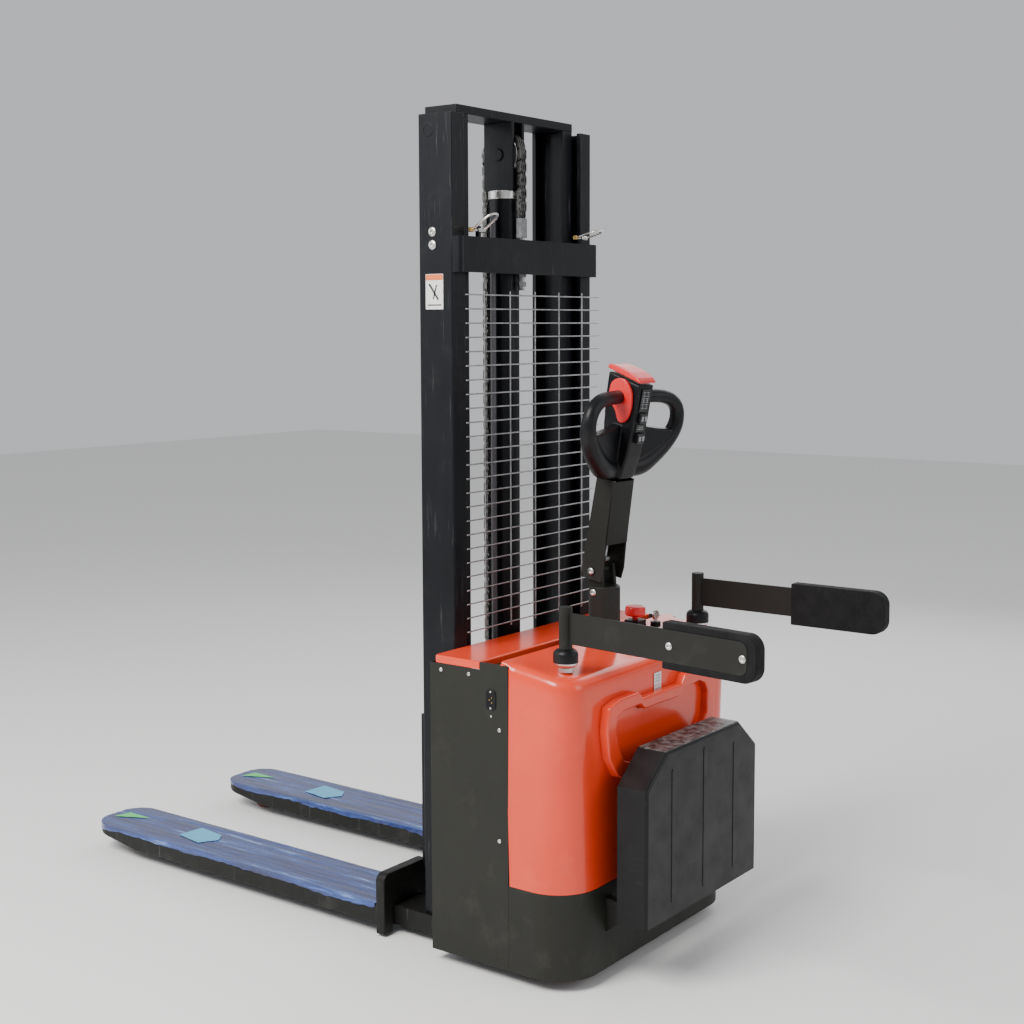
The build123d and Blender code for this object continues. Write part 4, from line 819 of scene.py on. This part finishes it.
host = linked("wire_guard_host", bpy.data.meshes.new("wire_guard_host"))
guard = grown(host, wire_tree(), "mast_wire_guard", 50,
              {"Rows": 25, "Row Pitch": 0.832 / 24, "Half Width": 0.290, "Uprights": 5,
               "Upright Pitch": 0.107,
               "Overhang": 0.010, "Wire Radius": 0.0018, "Corner": tuple(at(0, -33, 818)),
               "Finish": WIRE_STEEL})
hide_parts("mesh_guard")
adopt(guard, "truck")
print("guard", len(guard.data.polygons), "faces, up to", round(max(v.co.z for v in guard.data.vertices), 3))

# %% [markdown]
# The lift chain is a leaf chain: flat figure-of-eight plates, laced on pins, four beside three. A
# tree walks along the run, drops a joint every pitch, and turns it to follow the run. The stretch
# behind the wheel and the stretch in front of it grow as the mast rises; here they are baked in
# place and put on no body.

# %% Chain links
PITCH = 0.0165


def chain_joint(name, lanes):
    """Plates side by side on one pin, a pitch long, running along +Z."""
    shape = bmesh.new()
    for lane in lanes:
        loops = []
        for x in (lane - 0.0014, lane + 0.0014):
            loops.append([shape.verts.new((x, 0.0068 * math.cos(a), centre + 0.0068 * math.sin(a)))
                          for centre, first in ((0.0, math.pi), (PITCH, 0.0))
                          for a in [first + math.pi * k / 6 for k in range(7)]])
        bridge(shape, *loops)
        shape.faces.new(loops[0][::-1])
        shape.faces.new(loops[1])
    bmesh.ops.create_cone(shape, cap_ends=True, segments=10, radius1=0.0032, radius2=0.0032, depth=0.029,
                          matrix=Matrix.Rotation(math.pi / 2, 4, "Y"))
    bmesh.ops.recalc_face_normals(shape, faces=shape.faces)
    return bpy.data.objects.new(name, to_mesh(shape, name, CHAIN_STEEL))


def chain_tree():
    """Drops the two kinds of joint in turn along a curve, each turned to follow it."""
    tree, start, end, link = new_tree("leaf_chain", {
        "Path": "Geometry", "Wide Joint": "Object", "Narrow Joint": "Object", "Pitch": "Float",
        "Finish": "Material"}, "Chain")
    steps = add_node(tree, "GeometryNodeResampleCurve", mode="LENGTH")
    link(start.outputs["Path"], steps.inputs["Curve"])
    link(start.outputs["Pitch"], steps.inputs["Length"])
    points = add_node(tree, "GeometryNodeCurveToPoints", mode="EVALUATED")
    link(steps.outputs[0], points.inputs["Curve"])
    aim = add_node(tree, "FunctionNodeAlignRotationToVector", axis="Z", pivot_axis="X")
    link(points.outputs["Tangent"], aim.inputs["Vector"])
    index = add_node(tree, "GeometryNodeInputIndex")
    odd = add_node(tree, "ShaderNodeMath", operation="MODULO")
    link(index.outputs[0], odd.inputs[0])
    odd.inputs[1].default_value = 2
    even = add_node(tree, "ShaderNodeMath", operation="SUBTRACT")
    even.inputs[0].default_value = 1
    link(odd.outputs[0], even.inputs[1])
    joined = add_node(tree, "GeometryNodeJoinGeometry")
    for socket, choice in (("Wide Joint", odd), ("Narrow Joint", even)):
        source = add_node(tree, "GeometryNodeObjectInfo")
        link(start.outputs[socket], source.inputs["Object"])
        place = add_node(tree, "GeometryNodeInstanceOnPoints")
        link(points.outputs["Points"], place.inputs["Points"])
        link(choice.outputs[0], place.inputs["Selection"])
        link(source.outputs["Geometry"], place.inputs["Instance"])
        link(aim.outputs[0], place.inputs["Rotation"])
        link(place.outputs[0], joined.inputs[0])
    return end_tree(tree, joined.outputs[0], start, end)


CHAIN_TREE = chain_tree()
wide = chain_joint("wide_joint", (-0.0115, -0.0040, 0.0040, 0.0115))
narrow = chain_joint("narrow_joint", (-0.0078, 0.0, 0.0078))


def curve_object(name, places, kind):
    """Curve object through places in metres."""
    curve = bpy.data.curves.new(name, "CURVE")
    curve.dimensions = "3D"
    spline = curve.splines.new(kind)
    spline.points.add(len(places) - 1)
    for point, place in zip(spline.points, places):
        point.co = (*place, 1)
    return linked(name, curve)


def chain_run(name, places):
    return grown(curve_object(name + "_path", [at(*p) for p in places], "POLY"), CHAIN_TREE, name, 40,
                 {"Wide Joint": wide, "Narrow Joint": narrow, "Pitch": PITCH, "Finish": CHAIN_STEEL})


WHEEL_Y, WHEEL_Z, PITCH_R = 68.0, 2013.0, 56.0
rear_chain = chain_run("lift_chain_rear", [(0, WHEEL_Y - PITCH_R, 1856),
                                           (0, WHEEL_Y - PITCH_R, WHEEL_Z - 8)])
over = [(0, WHEEL_Y - PITCH_R * math.cos(a), WHEEL_Z + PITCH_R * math.sin(a)) for a in
        [math.pi * k / 24 for k in range(25)]]
wrap_chain = chain_run("lift_chain_wrap", over)
front_chain = chain_run("lift_chain_front", [(0, WHEEL_Y + PITCH_R, WHEEL_Z - 12),
                                             (0, WHEEL_Y + PITCH_R, 426)])
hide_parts("chain_rear_run")
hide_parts("chain_front_run")
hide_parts("chain_front_run")
adopt(wrap_chain, "inner_mast")
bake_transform(rear_chain)
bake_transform(front_chain)
print("chain faces", [len(p.data.polygons) for p in (rear_chain, wrap_chain, front_chain)])

# %% [markdown]
# Everything on the tiller is drawn in the tiller's own frame: x along its hinge, z up the shaft, y
# forwards. The joints of the engineered model say how that frame lies in the world.

# %% The tiller's own frame
joint_of = {joint["name"]: joint for joint in record["behaviour"]["joints"]}
hinge, ahead = (Vector(joint_of[name]["axis"]).normalized() for name in ("tiller_tilt", "raise_press"))
upward = hinge.cross(ahead).normalized()
pivot = Vector(joint_of["tiller_tilt"]["pos_m"])
park_turn = math.atan2(hinge.y, hinge.x)
TILLER_TO_WORLD = Matrix.Translation(pivot) @ Matrix((hinge, ahead, upward)).transposed().to_4x4()


def on_tiller(x, y, z):
    """A place in millimetres in the tiller's frame, from its hinge."""
    return pivot + hinge * (x / 1000) + ahead * (y / 1000) + upward * (z / 1000)


print("tiller parked at", round(math.degrees(park_turn), 2), "degrees")

# %% [markdown]
# The steering head is one plump moulding: two grip loops, a web below them and a raised column. It
# is modelled as clay. Balls of changing size run along each loop, slabs fill the web and column,
# and a fine voxel remesh with a smooth modifier melts them together.

# %% Moulded steering head
SWEEP = math.radians(11.0)


def on_loop(side, reach, z, forward=0.0):
    """Place in the tiller's frame on a grip loop, which is swept back from the column."""
    return Vector((side * (reach * math.cos(SWEEP) + forward * math.sin(SWEEP)),
                   -reach * math.sin(SWEEP) + forward * math.cos(SWEEP), z)) / 1000


def curve_through(points, steps):
    """Catmull-Rom points through a list of number lists of equal length."""
    result = []
    for i in range(len(points) - 1):
        p0, p1 = points[max(i - 1, 0)], points[i]
        p2, p3 = points[i + 1], points[min(i + 2, len(points) - 1)]
        for k in range(steps):
            t = k / steps
            result.append([0.5 * (2 * b + (c - a) * t + (2 * a - 5 * b + 4 * c - d) * t * t
                                  + (3 * b - a - 3 * c + d) * t ** 3) for a, b, c,
                                  d in zip(p0, p1, p2, p3)])
    return result + [list(points[-1])]


def clay(shape, voxel, passes, finish, node, name):
    """Melt a rough bmesh in the tiller's frame into one smooth skin that replaces a node."""
    bmesh.ops.recalc_face_normals(shape, faces=shape.faces)
    source = linked(name + "_source", to_mesh(shape, name, finish))
    remesh = source.modifiers.new("voxels", "REMESH")
    remesh.mode, remesh.voxel_size, remesh.use_smooth_shade = "VOXEL", voxel, True
    relax = source.modifiers.new("relax", "SMOOTH")
    relax.factor, relax.iterations = 0.5, passes
    piece = baked(source, name)
    piece.data.transform(TILLER_TO_WORLD)
    piece.data.materials.clear()
    piece.data.materials.append(finish)
    piece.data.shade_smooth()
    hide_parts(node)
    return adopt(piece, body_of[node])


def in_column(p, depth):
    """Place in the tiller's frame of an outline point in y and z, at a depth along x."""
    return Vector((depth, p[0], p[1])) / 1000


GRIP_Z = 446
LOOP = curve_through([(33, GRIP_Z, 17.6), (80, GRIP_Z + 1, 17.6), (122, GRIP_Z, 17.6), (154, 438, 18),
                      (177, 420, 18.6),
                      (186, 394, 19), (182, 366, 20.5), (165, 338, 22), (140, 312, 23.5), (112, 290, 25),
                      (82, 272, 27), (50, 265, 26), (15, 266, 26)], 7)
WEB = [(0, 256), (70, 258), (140, 306), (174, 352), (170, 362), (110, 366), (44, 374), (0, 380)]
COLUMN = [(34, 243), (-34, 243), (-46, 300), (-51, 345), (-56, 484), (42, 503), (43, 440), (36, 350)]
shape = bmesh.new()
for side in (-1, 1):
    for reach, z, radius in LOOP:
        bmesh.ops.create_icosphere(shape, subdivisions=3, radius=radius / 1000,
                                   matrix=Matrix.Translation(on_loop(side, reach, z, 2.0)))
    slab(shape, WEB, -13, 15, lambda p, depth, side=side: on_loop(side, p[0], p[1], depth))
slab(shape, COLUMN, -30.5, 30.5, in_column)
head = clay(shape, 0.0022, 14, HEAD_PLASTIC, "tiller_head", "steering_head")

WING = curve_through([(26, 8), (22, 32), (4, 46), (-20, 44), (-40, 20), (-45, -14), (-40, -44), (-26, -60),
                      (-12, -56), (0, -34), (16, -16), (26, 8)], 5)[:-1]
shape = bmesh.new()
for side in (-1, 1):
    inner, outer = sorted((side * 32.2, side * 41.8))
    slab(shape, [(y, GRIP_Z + z) for y, z in WING], inner, outer, in_column)
wings = clay(shape, 0.0012, 5, HANDLE_RED, "throttle_wings", "butterfly_wings")

shape = bmesh.new()
CAP = [(45, 511), (-58, 489), (-59, 494), (-50, 502), (-25, 512), (5, 519), (30, 522), (44, 520)]
slab(shape, CAP, -33.5, 33.5, in_column)
cap = clay(shape, 0.0014, 9, HANDLE_RED, "belly_button", "reversing_button")
print("head", len(head.data.polygons), "wings", len(wings.data.polygons), "cap", len(cap.data.polygons))

# %% [markdown]
# A strip of plain symbols runs down the face that the operator sees. The symbols are simple bars
# and squares: no lettering. Each is a thin plate that stands a fraction of a millimetre
# proud of the strip.

# %% Symbol strip
def plates(name, corners, finish, lift=0.0006):
    """Thin plates, each given by four corners going round it, facing along its own normal."""
    shape = bmesh.new()
    for points in corners:
        normal = (points[1] - points[0]).cross(points[-1] - points[0]).normalized()
        slab(shape, points, 0, lift, lambda p, depth, normal=normal: p + normal * depth)
    return linked(name, to_mesh(shape, name, finish))


def printed(name, colour, rough):
    mat, tree, shader, coords = start_finish(name)
    dress(tree, shader, ramp(tree, mottle(tree, coords, 60.0), (0.3, shade(colour, 0.88)), (0.7, colour)),
          span(tree, mottle(tree, coords, 30.0), rough, rough + 0.12))
    relief(tree, shader, mottle(tree, coords, 250.0), 0.1, 0.0001)
    return mat


LABEL_WHITE = printed("label_white", (0.72, 0.72, 0.70), 0.35)
LABEL_ORANGE = printed("label_orange", (0.72, 0.16, 0.04), 0.35)
LABEL_INK = printed("label_ink", (0.03, 0.03, 0.032), 0.4)
STRIP_GLOSS = printed("strip_gloss_black", (0.006, 0.006, 0.008), 0.16)
MARK_GREY = printed("symbol_grey", (0.22, 0.23, 0.24), 0.35)


def face_y(z):
    """Depth of the operator's face of the column at a height on the tiller."""
    return -51.2 - (z - 338) * 6 / 144


def face_plate(x0, x1, z0, z1, proud=1.8):
    return [on_tiller(x, face_y(z) - proud, z) for x, z in ((x0, z0), (x1, z0), (x1, z1), (x0, z1))]


strip = plates("symbol_strip", [face_plate(-17, 17, 418, 474, 1.0), face_plate(-17, 17, 367, 385, 1.0)],
               STRIP_GLOSS)
adopt(strip, "tiller")
marks = []
for row, z in enumerate((426, 441, 456)):
    for x in (-13, 2):
        left, right = (3, 8) if row % 2 else (5, 7)
        marks += [face_plate(x, x + 11, z, z + 1.6), face_plate(x, x + 11, z + 9.5, z + 11),
                  face_plate(x + left, x + right, z + 3.2, z + 8)]
marks += [face_plate(-12, 12, 373, 375), face_plate(-8, 8, 378, 380)]
adopt(plates("symbol_marks", marks, MARK_GREY), "tiller")
for node, z in (("raise_button", 401), ("lower_button", 351)):
    refinish(finished[node], STRIP_GLOSS, lambda centre: True)
    button = [[on_tiller(x, -62.6, zz) for x, zz in ((x0, z - 6), (x0 + 9, z - 6), (x0 + 9, z + 6),
                                                     (x0, z + 6))]
              for x0 in (-11, 2)]
    adopt(plates(node + "_mark", button, MARK_GREY), body_of[node])
print("symbols", len(marks))

# %% [markdown]
# New forks are shipped wrapped in blue film. It lies flat on the top, turns down over the edges by
# a finger's width in an uneven line, and wrinkles along the fork where it was pulled tight. The
# sheet is a grid over the fork's outline, pushed up and down by smooth noise.

# %% Shipping film on the forks
fork_low, fork_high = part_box("right_fork")
FORK_TOP_Z = 0.085
FILM_START, FILM_END = at(0, 229, 0).y, fork_high[1] - 0.0012
TIP_RADIUS = 0.070


def fork_half_width(y):
    """Half width of the fork at y, which narrows in an arc at each side of the tip."""
    full = (fork_high[0] - fork_low[0]) / 2
    centre = fork_high[1] - TIP_RADIUS
    if y <= centre:
        return full
    return full - TIP_RADIUS + math.sqrt(max(TIP_RADIUS ** 2 - (y - centre) ** 2, 0))


def noise_at(x, y, z):
    return value_noise.noise(Vector((x, y, z)))


def film_sheet(side):
    """Draped sheet on one fork, on the right for +1 and on the left for -1."""
    middle = side * (fork_low[0] + fork_high[0]) / 2
    along, across, down = 300, 30, 6
    shape = bmesh.new()
    rows = []
    for i in range(along + 1):
        t = i / along
        y = FILM_START + (FILM_END - FILM_START) * (1 - (1 - t) ** 1.15)
        half = fork_half_width(y) + 0.0011
        row = []
        for k in range(-across - down, across + down + 1):
            side_steps = abs(k) - across
            sign = -1 if k < 0 else 1
            hem = (0.015 + 0.008 * noise_at(y * 9, side * 3.0 + sign * 2.0, 0.4)
                   + 0.004 * noise_at(y * 41, side * 5.0 + sign, 1.7))
            if side_steps <= 0:
                x, drop = half * k / across, 0.0
            else:
                x = sign * (half + 0.0010 * side_steps / down)
                drop = hem * side_steps / down
            ripple = noise_at(x * 55, y * 3.1, side * 7.7)
            fine = noise_at(x * 160, y * 14, side * 2.2)
            z = FORK_TOP_Z + 0.0012 + 0.0011 * max(0.0, ripple + 0.25) + 0.0004 * fine - drop
            shift = 0.0009 * noise_at(y * 33, z * 90, side) if side_steps > 0 else 0.0
            row.append(shape.verts.new((middle + x + sign * abs(shift), y, z)))
        rows.append(row)
    for first, second in zip(rows, rows[1:]):
        bridge(shape, first, second, closed=False)
    mesh = to_mesh(shape, "fork_film", FILM)
    mesh.shade_smooth()
    fork = ("right" if side > 0 else "left") + "_fork"
    piece = adopt(linked(fork + "_film", mesh), "carriage")
    area = sum(face.area for face in mesh.polygons)
    return area


print("film areas", [round(film_sheet(side), 4) for side in (1, -1)])

# %% [markdown]
# Two bits of coloured film show on each fork: a green triangle at the tip and a pale blue patch
# further back. They are thin crumpled pieces lying on the film.

# %% Coloured film patches
GREEN_FILM = printed("green_film", (0.10, 0.58, 0.16), 0.25)
PALE_FILM = printed("pale_blue_film", (0.10, 0.40, 0.62), 0.22)


def patch(name, outline, finish):
    """Crumpled patch over a closed outline in x and y, just above the film."""
    shape = bmesh.new()
    middle = sum((Vector(p) for p in outline), Vector((0, 0))) / len(outline)
    rings, layers = [], 7
    for layer in range(1, layers + 1):
        ring = []
        for index in range(len(outline) * 4):
            a, b = outline[index // 4], outline[(index // 4 + 1) % len(outline)]
            p = Vector(a).lerp(Vector(b), (index % 4) / 4)
            p = middle.lerp(p, layer / layers * (1 + 0.05 * noise_at(p.x * 60, p.y * 60, 3)))
            z = FORK_TOP_Z + 0.0031 + 0.0005 * noise_at(p.x * 130, p.y * 130, 9)
            ring.append(shape.verts.new((p.x, p.y, z)))
        rings.append(ring)
    top = shape.verts.new((middle.x, middle.y, FORK_TOP_Z + 0.0032))
    count = len(rings[0])
    for i in range(count):
        j = (i + 1) % count
        shape.faces.new((top, rings[0][i], rings[0][j]))
        for first, second in zip(rings, rings[1:]):
            shape.faces.new((first[i], second[i], second[j], first[j]))
    bmesh.ops.recalc_face_normals(shape, faces=shape.faces)
    if sum(face.normal.z for face in shape.faces) < 0:
        bmesh.ops.reverse_faces(shape, faces=shape.faces)
    mesh = to_mesh(shape, name, finish)
    mesh.shade_smooth()
    piece = adopt(linked(name, mesh), "carriage")


GREEN_OUTLINE = [(0.022, -0.040), (-0.030, -0.028), (0.020, -0.135)]
PALE_OUTLINE = [(0.052, -0.330), (-0.030, -0.322), (-0.046, -0.420), (0.004, -0.452), (0.040, -0.428)]
for side, word in ((1, "right"), (-1, "left")):
    middle = side * (fork_low[0] + fork_high[0]) / 2
    for kind, outline, finish in (("_green_patch", GREEN_OUTLINE, GREEN_FILM),
                                  ("_pale_patch", PALE_OUTLINE, PALE_FILM)):
        patch(word + kind, [(middle + x, fork_high[1] + y) for x, y in outline], finish)
print("patches on both forks")

# %% [markdown]
# Each lifting point is a wire ring that turns in a lug on the crossbar, with a plated barrel and a
# brass head on its pin. A closed smooth spline with a round bevel makes the wire.

# %% Lifting rings
def wire_loop(name, places, radius, finish):
    """Closed loop of round wire."""
    loop = curve_object(name + "_curve", places, "NURBS")
    curve, spline = loop.data, loop.data.splines[0]
    curve.bevel_depth, curve.bevel_resolution, curve.resolution_u = radius, 3, 8
    spline.order_u, spline.use_cyclic_u = 4, True
    piece = baked(loop, name)
    piece.data.materials.clear()
    piece.data.materials.append(finish)
    piece.data.shade_smooth()
    return piece


def barrel(name, start, end, profile, finish, sides=24):
    """Turned piece between two places; profile is pairs of distance along it and radius."""
    start, end = Vector(start), Vector(end)
    along = (end - start).normalized()
    side_a = along.orthogonal().normalized()
    side_b = along.cross(side_a)
    shape = bmesh.new()
    rings = []
    for distance, radius in profile:
        centre = start + along * distance
        rings.append([shape.verts.new(centre + (side_a * math.cos(a) + side_b * math.sin(a)) * radius)
                      for a in [2 * math.pi * i / sides for i in range(sides)]])
    for first, second in zip(rings, rings[1:]):
        bridge(shape, first, second)
    shape.faces.new(rings[0][::-1])
    shape.faces.new(rings[-1])
    bmesh.ops.recalc_face_normals(shape, faces=shape.faces)
    mesh = to_mesh(shape, name, finish)
    smooth_by_angle(mesh, 40)
    return linked(name, mesh)


RING = [(-21, 0), (-22, 20), (-22, 48), (-12, 66), (12, 66), (22, 48), (22, 20), (21, 0), (8, -2), (-8, -2)]
PIN = [(0.0, 0.0036), (0.002, 0.0040), (0.020, 0.0040), (0.021, 0.0062), (0.046, 0.0062), (0.048, 0.005)]
KNOB = [(0.0, 0.004), (0.002, 0.0062), (0.009, 0.0062), (0.011, 0.0045)]
rings = []
for side, lean in ((-1, 55.0), (1, 75.0)):
    word = "left" if side < 0 else "right"
    a = math.radians(lean)

    def swung(x, out):
        return at(side * 225 + x, -21 - out * math.sin(a), 1808 + out * math.cos(a))

    ring = wire_loop(word + "_lifting_ring", [swung(x, out) for x, out in RING], 0.0030, ZINC)
    pin = barrel(word + "_lifting_pin", swung(-24, 0), swung(24, 0), PIN, ZINC)
    knob = barrel(word + "_lifting_pin_head", swung(-34, 0), swung(-22, 0), KNOB, BRASS)
    for piece in (ring, pin, knob):
        adopt(piece, "shackles")
    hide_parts("lifting_shackles")
    rings.append(ring)
print("lifting rings", [r.name for r in rings])

# %% [markdown]
# Flat labels: one on the mast with an orange band, one on the back of the cover. They carry plain
# marks instead of words.

# %% Labels
LABEL_X = -301


def side_plate(y0, y1, z0, z1, proud):
    return [at(LABEL_X - proud, y, z) for y, z in ((y1, z0), (y0, z0), (y0, z1), (y1, z1))]


def rear_plate(x0, x1, z0, z1, y, proud=0.8):
    return [at(x, y - proud, z) for x, z in ((x0, z0), (x1, z0), (x1, z1), (x0, z1))]


strokes = [[at(LABEL_X - 0.8, y, z) for y, z in stroke] for stroke in
           (((76, 1676), (70, 1678), (42, 1640), (46, 1636)),
            ((52, 1674), (47, 1674), (58, 1640), (62, 1640)))]
bars = [rear_plate(-11, 11, z, z + 1.6, -404.2) for z in (706, 699, 692)]
bars += [rear_plate(-11, 11 - 2 * k, 673 - 7 * k, 674.6 - 7 * k, -404.4) for k in range(3)]
for name, corners, finish in (
        ("mast_label", [side_plate(29, 84, 1615, 1701, 0.1)], LABEL_WHITE),
        ("mast_label_band", [side_plate(30, 83, 1686, 1700, 0.7)], LABEL_ORANGE),
        ("mast_label_marks", strokes + [side_plate(34, 78, 1624, 1627, 0.8)], LABEL_INK),
        ("rear_label", [rear_plate(-17, 17, 682, 714, -404.2, 0.1),
                        rear_plate(-17, 17, 652, 681, -404.4, 0.1)],
         LABEL_WHITE),
        ("rear_label_marks", bars, MARK_GREY)):
    adopt(plates(name, corners, finish), "truck")
print("labels done")

# %% [markdown]
# The platform is pressed with three long beads, which stiffen it. Each bead is a low bar with
# round ends.

# %% Platform beads
def bead(x, z0, z1, half):
    """Outline in x and z of a bar with round ends."""
    return [(x + half * math.cos(a), centre + half * math.sin(a))
            for centre, first in ((z0, math.pi), (z1, 0.0)) for a in [first + math.pi * k / 8 for k in range(9)]]


rear_mm = (pan_low[1] - MAST_REAR) * 1000
for index, (x, z0, z1) in enumerate(((-150, 205, 520), (0, 200, 540), (150, 205, 520))):
    name = "platform_bead_%d" % index
    block = flat_prism(bead(x, z0, z1, 6.5), None, rear_mm + 0.1, rear_mm + 2.4, name, PLATFORM_BLACK)
    bar = rounded(block, name, 0.9, 3)
    bar.data.transform(Matrix.Translation((0, -0.0014, 0)))
    adopt(bar, "platform")
print("beads at y", round(pan_low[1], 4))

# %% [markdown]
# Each arm rest is a slab of moulded foam on a steel plate, held by two screws. Foam edges are
# round, so the slab gets a wide bevel.

# %% Arm pads, bolts and rings
for node in ("left_arm_pad", "right_arm_pad"):
    softened(node, 6.0, FOAM, segments=4, angle=40)

ARM_SPLAY = math.radians(7.0)
POST_X, POST_Y, ARM_FACE, ARM_MID_Z = 308, -340, 3.0, 868


def arm_places(side, turned):
    """Places of the two bolts on the outer face of a guard arm, measured along it from its post."""
    places = []
    for reach in (308, 505):
        x = -ARM_FACE * math.cos(turned) - reach * math.sin(turned)
        y = ARM_FACE * math.sin(turned) - reach * math.cos(turned)
        places.append((side * (POST_X - x), POST_Y + y, ARM_MID_Z))
    return places


def beside_tiller(out, down=0):
    """Mast place that is out to the left of the tiller's hinge, in millimetres."""
    place = pivot - hinge * (out / 1000)
    return (place.x * 1000, (place.y - MAST_REAR) * 1000, place.z * 1000 - down)


axle_ring = screw_head("axle_ring", 0.0185, 0.0009, 0.0165, MAST_PAINT)
inlet_pin = screw_head("inlet_pin", 0.0017, 0.0022, 0.0, BRASS)
inlet_screw = screw_head("inlet_screw", 0.0026, 0.0012, 0.0011, ZINC)
inlet_low, inlet_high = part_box("charge_socket")
inlet_y = ((inlet_low[1] + inlet_high[1]) / 2 - MAST_REAR) * 1000
inlet_z = (inlet_low[2] + inlet_high[2]) * 500
steered = body_of["tiller_base"]
for name, places, head, turn, finish, body in (
        ("left_arm_bolts", arm_places(-1, ARM_SPLAY), medium, (0, -math.pi / 2, -ARM_SPLAY), ZINC,
         "left_guard"),
        ("right_arm_bolts", arm_places(1, 0.0), medium, RIGHT, ZINC, "right_guard"),
        ("mast_axle_ring_left", [(-301, 76, 2050)], axle_ring, LEFT, MAST_PAINT, "truck"),
        ("mast_axle_ring_right", [(301, 76, 2050)], axle_ring, RIGHT, MAST_PAINT, "truck"),
        ("tiller_hinge_bolt", [beside_tiller(49.0)], medium, (0, -math.pi / 2, park_turn), ZINC, steered),
        ("tiller_base_bolt", [beside_tiller(39.8, 56)], medium, (0, -math.pi / 2, park_turn), ZINC,
         steered),
        ("inlet_pins", [(-385.6, inlet_y - 3.5, inlet_z + 6), (-385.6, inlet_y - 3.5, inlet_z - 6),
                        (-385.6, inlet_y + 3.5, inlet_z)], inlet_pin, LEFT, BRASS, "truck"),
        ("inlet_screws", [(-387, inlet_y, inlet_z + 20), (-387, inlet_y, inlet_z - 20),
                          (-385, inlet_y, inlet_z - 40)],
         inlet_screw, LEFT, ZINC, "truck")):
    heads(name, places, head, turn, finish, body)
print("bolts and rings in place")
